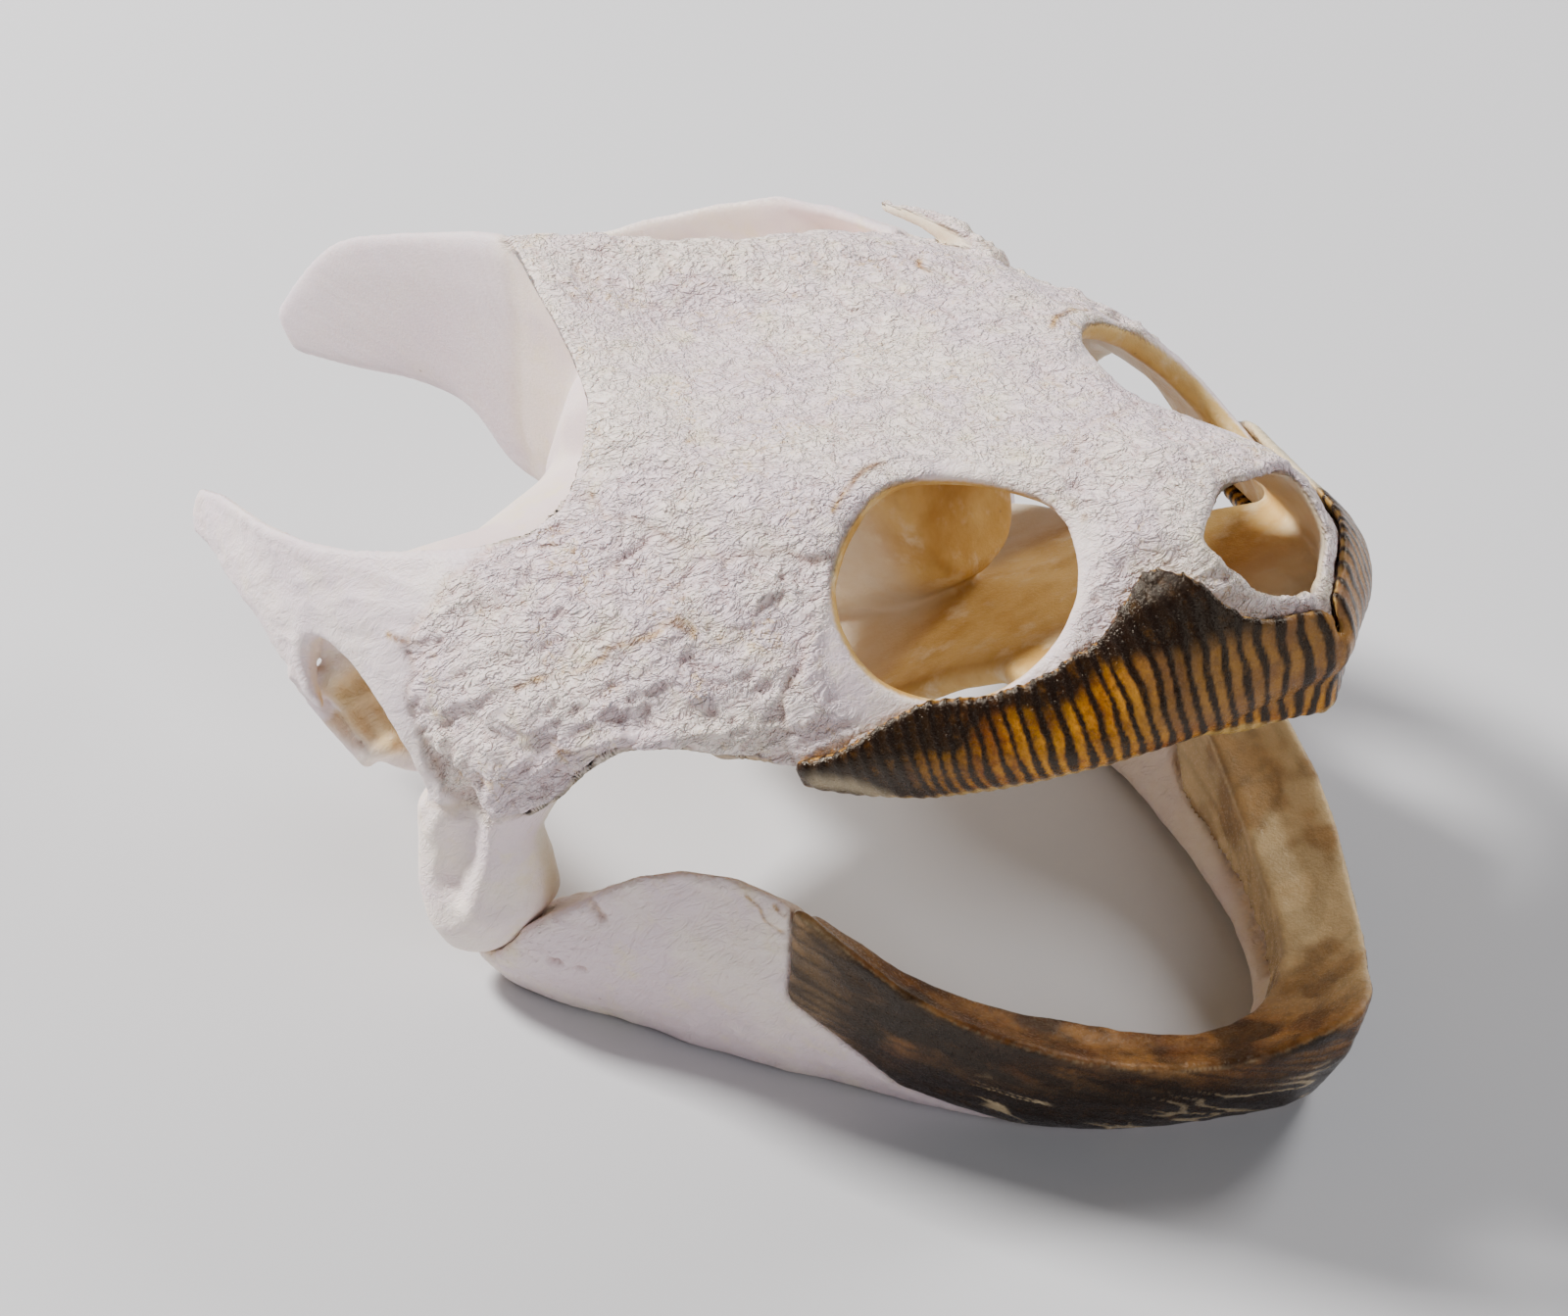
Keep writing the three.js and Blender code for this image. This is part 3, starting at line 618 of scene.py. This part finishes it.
BONE_COLOURS = {
    "warm": rgb(250, 234, 224), "pink": rgb(238, 218, 222), "cream": rgb(246, 230, 200),
    # the hollow colour is painted shade, laid into the hollows of the relief
    "mauve": rgb(228, 213, 220), "hollow_shade": rgb(206, 172, 166), "stain": rgb(224, 188, 132),
    "inside": rgb(236, 222, 202), "inside_deep": rgb(226, 206, 174),
    "gold": rgb(226, 192, 122), "gold_deep": rgb(200, 156, 82), "gold_pale": rgb(236, 214, 170),
    # the pore colour is painted shade in the pits of the pores
    "speck": rgb(150, 118, 92), "pore_shade_tint": rgb(188, 160, 144),
    # the crack colours also paint the shade in the jaw's sunk openings and grooves
    "crack_and_pit_shade": rgb(204, 162, 96), "crack_and_pit_shade_deep": rgb(128, 84, 44),
}
UPPER_COLOURS = {
    "light": rgb(222, 150, 24), "deep": rgb(140, 74, 14), "stripe": rgb(34, 18, 8),
    "pale": rgb(206, 170, 96), "dark": rgb(26, 13, 8), "grey": rgb(120, 92, 62), "bare": rgb(226, 206, 168),
}
LOWER_COLOURS = {
    "light": rgb(164, 116, 62), "deep": rgb(110, 66, 30), "stripe": rgb(44, 26, 14),
    "pale": rgb(222, 194, 146), "dark": rgb(26, 15, 11), "grey": rgb(120, 92, 62), "bare": rgb(214, 190, 150),
}
FLOOR_COLOUR = rgb(206, 206, 209)


def bone_outside(s, rugged):
    """The colour of the bone's outer face: pink and warm patches, stains in its flakes, and painted shade in
    the hollows of its relief.
    """
    tint = BONE_COLOURS
    colour = s.mix(s.clouds(0.014, 4, 0.6, 0.38, 0.62), tint["warm"], tint["pink"])
    colour = s.mix(s.clouds(0.005, 5, 0.65, 0.5, 0.75, 0.0, 0.8), colour, tint["cream"])
    colour = s.mix(s.times(s.attribute("crest"), 0.75), colour, tint["mauve"])
    # painted shade: darker where the surface lies below its surroundings and in the grooves of the crest's
    # striae
    colour = s.mix(s.times(s.attribute("hollow_shade"), 0.55), colour, tint["hollow_shade"])
    stained = s.times(s.clouds(0.006, 3, 0.6, 0.5, 0.66), s.clouds(0.0009, 4, 0.7, 0.5, 0.62))
    return s.mix(s.times(stained, s.times(rugged, 0.6)), colour, tint["stain"])


def bone_inside(s):
    """The colour of the bone's inner face, golden in the sockets and the ears."""
    tint = BONE_COLOURS
    colour = s.mix(s.clouds(0.009, 4, 0.6, 0.35, 0.65), tint["inside"], tint["inside_deep"])
    gold = s.mix(s.clouds(0.008, 4, 0.6, 0.35, 0.65), tint["gold"], tint["gold_deep"])
    gold = s.mix(s.clouds(0.0035, 4, 0.6, 0.5, 0.75), gold, tint["gold_pale"])
    return s.mix(s.attribute("golden"), colour, gold)


def bone_marks(s, colour):
    """Adds the dark specks and the cracks, and the painted shade in the jaw's sunk openings and grooves."""
    tint = BONE_COLOURS
    specks = s.ramp(s.cells(0.0019), 0.13, 0.05)
    rare = s.clouds(0.01, 2, 0.55, 0.56, 0.7)
    colour = s.mix(s.times(specks, s.times(rare, 0.6)), colour, tint["speck"])
    crack_and_pit_shade_colour = s.mix(s.clouds(0.0012, 4, 0.55, 0.4, 0.6), tint["crack_and_pit_shade"], tint["crack_and_pit_shade_deep"])
    broken = s.clouds(0.0016, 4, 0.7, 0.35, 0.5, 0.45, 1.0)
    return s.mix(s.times(s.attribute("crack_and_pit_shade"), broken), colour, crack_and_pit_shade_colour)


def bone_relief(s, rugged, porous, pores, grain):
    """Height of the fine relief: thin flakes, winding grooves and pores over the grain of the bone."""
    place = s.stretched((2.8, 1, 1), (0, -GAPE - math.radians(FLAKE_RISE), 0))
    scales = s.terraces(s.noise(0.0021, 4, 0.55, 0.7, place), 8)
    worms = s.maths("ABSOLUTE", s.maths("SUBTRACT", s.noise(0.0014, 3, 0.6, 0.6, place), 0.5), 0)
    worms = s.ramp(worms, 0.0, 0.12)
    relief = s.times(scales, s.times(rugged, 2.8))
    relief = s.plus(relief, s.times(worms, s.times(rugged, 0.5)))
    relief = s.plus(relief, s.times(pores, s.times(porous, 0.4)))
    return s.plus(relief, s.times(grain, 0.12))


def bone_material():
    s = Shader("bone")
    rugged = s.attribute("rugged")
    porous = s.attribute("porous")
    pores = s.ramp(s.cells(0.00085), 0.1, 0.32)
    grain = s.noise(0.0004, 4, 0.7)
    colour = s.mix(s.attribute("outer"), bone_inside(s), bone_outside(s, rugged))
    colour = bone_marks(s, colour)
    # painted shade: the middles of the pits of the pores are darkened
    pore_shade = s.times(s.maths("SUBTRACT", 1.0, pores), s.times(porous, 0.22))
    colour = s.mix(pore_shade, colour, BONE_COLOURS["pore_shade_tint"])
    normal = s.bump(bone_relief(s, rugged, porous, pores, grain), 0.0006, 1.0)
    return s.finish(
        Base_Color=colour, Roughness=s.ramp(grain, 0.3, 0.7, 0.36, 0.58), Normal=normal,
        Subsurface_Weight=0.08, Subsurface_Radius=(0.0016, 0.0009, 0.0006), Subsurface_Scale=1.0,
        Specular_IOR_Level=0.45,
    )


def horn_material(name, tint):
    """Horn: a clouded base colour under the values that the sheath's mesh carries."""
    s = Shader(name)
    dark = s.attribute("dark")
    colour = s.mix(s.clouds(0.005, 5, 0.65, 0.34, 0.66), tint["light"], tint["deep"])
    colour = s.mix(s.times(s.clouds(0.0011, 5, 0.7, 0.48, 0.66), 0.4), colour, tint["stripe"])
    colour = s.mix(s.times(s.attribute("grey"), 0.65), colour, tint["grey"])
    colour = s.mix(s.attribute("pale"), colour, tint["pale"])
    worn = s.clouds(0.0016, 4, 0.7, 0.25, 0.5, 0.75, 1.0)
    colour = s.mix(s.times(s.attribute("stripe"), worn), colour, tint["stripe"])
    mottled = s.times(dark, s.clouds(0.0022, 6, 0.75, 0.25, 0.5, 0.8, 1.0))
    colour = s.mix(mottled, colour, tint["dark"])
    colour = s.mix(s.attribute("bare"), colour, tint["bare"])
    grain = s.noise(0.00035, 4, 0.75)
    lumps = s.noise(0.0011, 4, 0.7)
    crumbs = s.ramp(s.cells(0.00055), 0.3, 0.05)
    height = s.plus(s.times(grain, 0.4), s.times(lumps, 0.9))
    height = s.plus(height, s.times(crumbs, s.times(dark, 0.3)))
    return s.finish(
        Base_Color=colour, Roughness=s.ramp(grain, 0.35, 0.65, 0.1, 0.32),
        Normal=s.bump(height, 0.00022, 0.9), Specular_IOR_Level=0.38, Specular_Tint=(1.0, 0.86, 0.68, 1.0),
    )


# Bones of the cranium


def skin_side(places, normals):
    """1 where a surface faces away from the middle of the head, 0 where it faces inwards. Places and
    normals are in the level frame of the cranium."""
    rear, front, height = HEAD_AXIS
    count = len(places)
    nearest = [np.clip(places[:, 0], rear, front), np.zeros(count), np.full(count, height)]
    away = places - np.stack(nearest, axis=1)
    away /= np.linalg.norm(away, axis=1)[:, None]
    return smoothstep(-0.05, 0.3, (away * normals).sum(axis=1))


def bone_shares(grown):
    """For each bone of the cranium: 1 where the skin is grown from it, blending at the seams."""
    nearest = owners(warped(grown.verts, 0.003, 0.0009, 3), grown.tree, grown.owner)
    return {name: grown.net.smooth((nearest == k).astype(float), 5) for k, name in enumerate(BONE_NODES)}


def cranium_masks(shares, places, outer, rim):
    """Values from 0 to 1 that say where on the cranium each vertex is."""
    def of(*words):
        return sum(value for name, value in shares.items() if name.startswith(words))

    along, across, up = places.T
    crest = of("supraoccipital_crest")
    seams = sum(4 * value * (1 - value) for name, value in shares.items() if name.startswith(SKIN_NODES))
    # The eye socket's rim is smooth; the margins of the roof and the cheeks are ragged
    orbit = np.hypot(along - ORBIT[0], (up - ORBIT[1]) * 0.95)
    polished = smoothstep(13.0, 10.4, orbit) * smoothstep(8, 12, np.abs(across))
    ear = smoothstep(8, 4, np.hypot((along - EAR[0]) * 0.6, up - EAR[1]))
    return SimpleNamespace(
        outer=outer,
        skin=of(*SKIN_NODES) * outer,
        cheek=of("cheek") * outer,
        roof=of("cranium_roof") * outer,
        snout=of("snout", "maxilla") * outer,
        prong=of("squamosal") * outer,
        crest=crest,
        quadrate=of("quadrate"),
        seam=seams * outer / 2,
        polished=polished,
        ragged=rim * (1 - polished) * np.maximum(of(*SKIN_NODES), crest),
        socket=smoothstep(30, 38, along) * smoothstep(74, 66, along) * smoothstep(35, 31, up),
        ear=ear * smoothstep(30, 35, np.abs(across)),
        under=of("cranium_roof", "squamosal", "braincase") * smoothstep(24, 10, along),
    )


def crest_striae(places):
    """Fine ridges that fan out over the crest."""
    back = CREST_FAN[0] - places[:, 0]
    up = places[:, 2] - CREST_FAN[1]
    fan = [np.arctan2(up, back) * 0.05, places[:, 1] / 1000, np.hypot(back, up) / 9000]
    return ridges(np.stack(fan, axis=1), 0.0013, 91)


def cranium_relief(verts, places, mask, patchy, striae):
    """Height of the bone's relief in millimetres: flakes and winding ridges on the cheeks, finer
    flakes and pits on the roof, striae on the prongs and the crest."""
    side_flow = turned(places, FLAKE_RISE, 2) * (0.33, 1, 1) / 1000
    side_flow = warped(side_flow, 0.004, 0.0011, 31)
    coarse = flakes(side_flow, 0.0034, 6, 41)
    worm = ridges(side_flow, 0.0015, 43)
    top_flow = turned(places, -FLAKE_RISE, 1) * (0.36, 1, 1) / 1000
    fine = flakes(warped(top_flow, 0.003, 0.0009, 51), 0.0032, 5, 53)
    hole = pits(verts, 0.0024, 0.0007, 61)
    streak = ridges(places * (0.2, 1, 1) / 1000, 0.0016, 81)
    cheek = mask.cheek * (2.1 * coarse + 0.2 * worm - 1.4)
    roof = mask.roof * (1.5 * fine * (0.5 + 0.5 * patchy) + (0.06 * worm - 0.2 * hole) * patchy - 0.7)
    snout = mask.snout * (1.1 * fine + 0.16 * worm - 0.35 * hole - 0.6)
    smooth_bone = mask.prong * (0.12 * streak - 0.1) + mask.crest * (0.03 * striae - 0.02)
    waves = mask.skin * 0.25 * fbm(verts, 0.01, 71) + mask.quadrate * 0.1 * fbm(verts, 0.004, 99)
    relief = (cheek + roof + snout + smooth_bone + waves - 0.12 * mask.seam) * (1 - 0.85 * mask.polished)
    return relief + 0.8 * mask.ragged * fbm(verts, 0.0016, 97, 2, 0.7)


def cranium_values(verts, normals, grown, mask, patchy, striae):
    """The values from 0 to 1 that the bone's material reads."""
    # how deep each vertex lies below its smoothed surroundings, for the painted shade in the hollows
    hollow_shade = -proud(grown.net, verts, normals, 5)
    specks = [on_surface(grown.tree, pixel) for pixel in SPECKS]
    specks = closeness(verts, [spot for spot in specks if spot is not None], 0.0007)
    cracks = np.maximum(crack_lines(verts, grown.tree, CRACKS, 0.00075), specks)
    wash = grown.net.smooth(mask.crest, 60)
    covered = np.maximum(mask.skin, 0.85 * mask.under)
    covered = np.maximum(covered, np.maximum(wash, mask.quadrate * mask.outer))
    # painted shade in the grooves between the striae of the crest
    grooves = 0.14 * mask.crest * smoothstep(0.7, 0.1, striae)
    rugged = mask.cheek + 0.95 * mask.roof + 0.9 * mask.snout + 0.12 * mask.prong + 0.15 * mask.quadrate
    porous = (0.25 + 0.75 * patchy) * (mask.roof + mask.snout) * (1 - mask.polished) + 0.3 * mask.cheek
    return {
        "outer": covered * (1 - 0.8 * mask.ear * (1 - mask.skin)),
        "hollow_shade": np.maximum(smoothstep(0.0, 0.11, hollow_shade) * mask.skin, grooves),
        "crest": np.maximum(wash, 0.6 * mask.prong),
        "golden": np.maximum(mask.socket, mask.ear),
        "crack_and_pit_shade": np.maximum(cracks, 0.22 * mask.seam * (1 - mask.polished)),
        "rugged": rugged * (1 - 0.9 * mask.polished),
        "porous": np.clip(porous, 0, 1) * mask.outer,
    }


def build_cranium(material):
    grown = Skin(BONE_NODES, CRANIUM_SKIN, [SLIVER] + EAR_WALLS)
    net = grown.net
    shares = bone_shares(grown)
    verts = formed(grown.verts, net.normals(grown.verts), grown.tree, CRANIUM_FORMS)
    normals = net.normals(verts)
    places = to_cranium(verts)
    outer = skin_side(places, normals @ CRANIUM_TURN.T)
    mask = cranium_masks(shares, places, outer, rim_mask(net, verts, normals))
    patchy = smoothstep(-0.35, 0.35, fbm(verts, 0.014, 95))
    striae = crest_striae(places)
    verts = displaced(verts, normals, cranium_relief(verts, places, mask, patchy, striae))
    verts = np.clip(verts, cad_box[0], cad_box[1])
    values = cranium_values(verts, normals, grown, mask, patchy, striae)
    return make_object("cranium_bone", verts, grown.quads, values, material)


# Bone of the jaw


def build_jaw(material):
    grown = Skin(JAW_NODES, JAW_SKIN)
    net = grown.net
    verts = formed(grown.verts, net.normals(grown.verts), grown.tree, JAW_FORMS)
    normals = net.normals(verts)
    along_jaw = warped(verts * (0.35, 0.6, 1.0), 0.004, 0.0005, 105)
    rim = rim_mask(net, verts, normals) * smoothstep(0.008, 0.014, verts[:, 2])
    relief = 0.3 * fbm(verts, 0.007, 101) + 0.1 * ridges(along_jaw, 0.0018, 103)
    relief = relief + rim * 0.7 * fbm(verts, 0.0018, 107, 2, 0.7)
    verts = displaced(verts, normals, relief)
    verts[:, 2] = np.maximum(verts[:, 2], grown.floor)
    cracks = crack_lines(verts, grown.tree, JAW_CRACKS, 0.0005)
    # painted shade: the sunk nerve openings and grooves are darkened with the crack colour
    for pixels, radius, height in JAW_FORMS:
        if height < 0:
            pit_shade = closeness(verts, traced(grown.tree, pixels), radius / 1300)
            cracks = np.maximum(cracks, 0.8 * pit_shade)
    side = normals[:, 1] * np.sign(verts[:, 1])
    none = np.zeros(len(verts))
    values = {
        "outer": 0.55 + 0.45 * smoothstep(-0.5, 0.2, side),
        # painted shade in the hollows of the jaw's relief
        "hollow_shade": smoothstep(0.0, 0.09, -proud(net, verts, normals, 5)),
        "crest": none + 0.1,
        "golden": none,
        "crack_and_pit_shade": cracks,
        "rugged": none + 0.2,
        "porous": 0.35 * smoothstep(0.012, -0.002, verts[:, 0]),
    }
    return make_object("jaw_bone", verts, grown.quads, values, material)


# Horn sheaths


def upper_horn_values(verts, places, wave, above, outer, peeled):
    """The values from 0 to 1 that the upper horn's material reads. above is the height over the
    cutting edge in millimetres."""
    along, across, up = places.T
    lobe = smoothstep(10, 13.5, up + 1.2 * noise(verts, 0.004, 117)) * smoothstep(53, 58, along)
    rear = smoothstep(55, 50, along + 2 * noise(verts, 0.004, 119))
    middle = smoothstep(63, 52, along + 5 * noise(verts, 0.006, 122))
    upper = smoothstep(6.5, 9.5, above + 1.6 * noise(verts, 0.005, 118)) * smoothstep(72, 66, along)
    broken = fbm(verts * (1, 1, 0.5), 0.0022, 124)
    left_top = smoothstep(0, 4, across) * smoothstep(7.5, 9, above) * smoothstep(74, 71, along)
    fringe = 0.3 * np.clip(smoothstep(5, 2, above) + 0.5 * noise(verts, 0.0032, 120), 0, 1)
    edge = smoothstep(1.1, 0.3, above)
    dark = np.clip(lobe + 0.88 * rear + 0.6 * middle + 0.85 * upper, 0, 0.98)
    return {
        "stripe": smoothstep(0.42 - fringe, 0.8 - fringe, wave + 0.3 * broken) * (1 - 0.6 * edge),
        "dark": dark * (1 - 0.7 * edge) * outer,
        "pale": np.clip(0.8 * edge + 0.6 * (1 - outer), 0, 1),
        "grey": smoothstep(70, 76, along) * smoothstep(1, 5, above),
        "bare": np.maximum(0.45 * peeled, left_top),
    }


def build_upper_horn():
    grown = Skin(["beak_upper"], UPPER_SKIN)
    verts = grown.verts
    normals = grown.net.normals(verts)
    places = to_cranium(verts)
    along, across, up = places.T
    middle, radius = UPPER_BOW
    length = np.arctan2(np.abs(across), along - middle) * radius
    phase = length + 0.05 * up + 1.1 * noise(verts, 0.009, 111) + 0.35 * noise(verts, 0.003, 114)
    wave = 0.5 + 0.5 * np.sin(2 * np.pi * phase / STRIPE_SPACING + 1.3 * noise(verts, 0.004, 113))
    verts = displaced(verts, normals, 0.12 * wave + 0.14 * fbm(verts, 0.003, 115))
    above = up - np.interp(along, *UPPER_EDGE) + 0.6 * noise(verts, 0.003, 116)
    ragged = rim_mask(grown.net, verts, normals, 6) * (0.15 + 0.85 * smoothstep(2, 4, above))
    shaped = displaced(verts, normals, 0.35 * ragged * fbm(verts, 0.0016, 126, 2))
    outer = skin_side(places, normals @ CRANIUM_TURN.T)
    peeled = closeness(shaped, traced(grown.tree, PEELED), 0.0022)
    values = upper_horn_values(verts, places, wave, above, outer, peeled)
    material = horn_material("upper_horn", UPPER_COLOURS)
    return make_object("upper_horn", shaped, grown.quads, values, material)


def labial_side(verts, normals, up):
    """1 on the outer side of the lower sheath, 0 on its top and its inner side."""
    away = np.stack([np.maximum(verts[:, 0] - JAW_ARCH, 0), verts[:, 1]], axis=1)
    away /= np.linalg.norm(away, axis=1)[:, None]
    return smoothstep(-0.05, 0.3, (away * normals[:, :2]).sum(axis=1)) * (1 - up)


def lower_sheet(verts):
    """Places on the lower sheath rolled out flat: stretched along it, the side, and the height."""
    bend = np.arctan2(np.maximum(verts[:, 0] - JAW_ARCH, 0), np.abs(verts[:, 1])) * JAW_BEND
    along = np.minimum(verts[:, 0], JAW_ARCH) + bend
    sheet = np.stack([along * 0.2, np.sign(verts[:, 1]), verts[:, 2] + 0.3 * along], axis=1)
    return warped(sheet, 0.002, 0.0004, 121)


def lower_horn_values(verts, sheet, streak, labial, up):
    """The values from 0 to 1 that the lower horn's material reads."""
    far = smoothstep(-0.004, 0.012, verts[:, 1])
    rim = smoothstep(0.0, 0.25, up) * smoothstep(1.0, 0.6, up)
    low = smoothstep(0.0105, 0.006, verts[:, 2] + 0.0015 * noise(verts, 0.004, 133))
    high = smoothstep(0.007, 0.0135, verts[:, 2] + 0.003 * noise(verts, 0.006, 135))
    cloud = smoothstep(-0.1, 0.5, noise(verts, 0.005, 129) + 0.4 * noise(verts, 0.0018, 131))
    rear = smoothstep(0.036, 0.03, verts[:, 0])
    blotch = smoothstep(-0.25, 0.25, fbm(sheet * (2.5, 1, 1), 0.004, 137))
    cream = smoothstep(0.72, 0.9, ridges(sheet, 0.0011, 127))
    cream = cream * smoothstep(-0.2, 0.3, noise(verts, 0.007, 139))
    dark = labial * (0.98 - 0.75 * high * (1 - blotch)) * (1 - 0.3 * rear)
    return {
        "stripe": smoothstep(0.3, 0.8, streak) * (0.2 + 0.55 * labial),
        "dark": dark + 0.75 * cloud * up * (1 - far),
        "pale": far * (1 - labial) * (0.85 - 0.5 * cloud) + 0.4 * rim + 0.25 * rear,
        "bare": 0.75 * cream * low * labial,
    }


def build_lower_horn():
    grown = Skin(["beak_lower"], LOWER_SKIN)
    verts = grown.verts
    normals = grown.net.normals(verts)
    up = smoothstep(0.2, 0.6, normals[:, 2])
    labial = labial_side(verts, normals, up)
    sheet = lower_sheet(verts)
    streak = ridges(sheet, 0.0012, 123)
    verts = displaced(verts, normals, 0.16 * fbm(verts, 0.004, 125) + 0.08 * streak)
    verts[:, 2] = np.maximum(verts[:, 2], grown.floor)
    ragged = rim_mask(grown.net, verts, normals, 6) * labial
    verts = displaced(verts, normals, 0.5 * ragged * fbm(verts, 0.0018, 134, 2))
    values = lower_horn_values(verts, sheet, streak, labial, up)
    material = horn_material("lower_horn", LOWER_COLOURS)
    return make_object("lower_horn", verts, grown.quads, values, material)


bone = bone_material()
pieces = [
    (build_cranium(bone), BONE_NODES, "bone"),
    (build_jaw(bone), JAW_NODES, "bone"),
    (build_upper_horn(), ["beak_upper"], "horn"),
    (build_lower_horn(), ["beak_lower"], "horn"),
]
for piece, nodes, slot in pieces:
    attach(piece, "root")
    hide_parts(*nodes)


# Floor, light and camera

WARM_LIGHT = (1.0, 0.98, 0.95)
COOL_LIGHT = (0.94, 0.96, 1.0)
PINK_LIGHT = (1.0, 0.965, 0.975, 1)


def make_floor():
    half = FLOOR_HALF
    mesh = bpy.data.meshes.new("floor")
    corners = [(-half, -half, 0), (half, -half, 0), (half, half, 0), (-half, half, 0)]
    mesh.from_pydata(corners, [], [(0, 1, 2, 3)])
    s = Shader("floor")
    mesh.materials.append(s.finish(Base_Color=FLOOR_COLOUR, Roughness=0.8, Specular_IOR_Level=0.2))
    floor = bpy.data.objects.new("floor", mesh)
    floor.location.z = -FLOOR_GAP
    bpy.context.scene.collection.objects.link(floor)


def make_light(name, azimuth, elevation, distance, size, power, colour=(1, 1, 1)):
    """A square lamp that looks at the middle of the floor. Azimuth and elevation are in degrees."""
    data = bpy.data.lights.new(name, "AREA")
    data.size = size
    data.energy = power
    data.color = colour
    lamp = bpy.data.objects.new(name, data)
    a = math.radians(azimuth)
    e = math.radians(elevation)
    back = Vector((math.sin(a) * math.cos(e), -math.cos(a) * math.cos(e), math.sin(e)))
    lamp.location = back * distance
    lamp.rotation_mode = "QUATERNION"
    lamp.rotation_quaternion = back.to_track_quat("Z", "Y")
    bpy.context.scene.collection.objects.link(lamp)


def make_camera():
    right, down, forward = (Vector(row) for row in CAMERA_AXES)
    data = bpy.data.cameras.new("camera")
    data.lens = CAMERA_LENS
    data.sensor_width = CAMERA_SENSOR
    data.shift_x, data.shift_y = CAMERA_SHIFT
    data.clip_start = 0.01
    camera = bpy.data.objects.new("camera", data)
    turn = Matrix((right, -down, -forward)).transposed().to_4x4()
    camera.matrix_world = Matrix.Translation(HINGE - forward * CAMERA_DISTANCE) @ turn
    bpy.context.scene.collection.objects.link(camera)
    bpy.context.scene.camera = camera


def make_world(colour, strength):
    world = bpy.data.worlds.new("studio")
    world.use_nodes = True
    background = world.node_tree.nodes["Background"]
    background.inputs["Color"].default_value = colour
    background.inputs["Strength"].default_value = strength
    bpy.context.scene.world = world


make_floor()
make_light("key", azimuth=-74, elevation=42, distance=0.9, size=0.14, power=18.0, colour=WARM_LIGHT)
make_light("fill", azimuth=75, elevation=30, distance=1.1, size=0.5, power=3.4, colour=COOL_LIGHT)
make_light("rim", azimuth=170, elevation=40, distance=1.0, size=0.3, power=6.0)
make_camera()
make_world(PINK_LIGHT, 0.12)
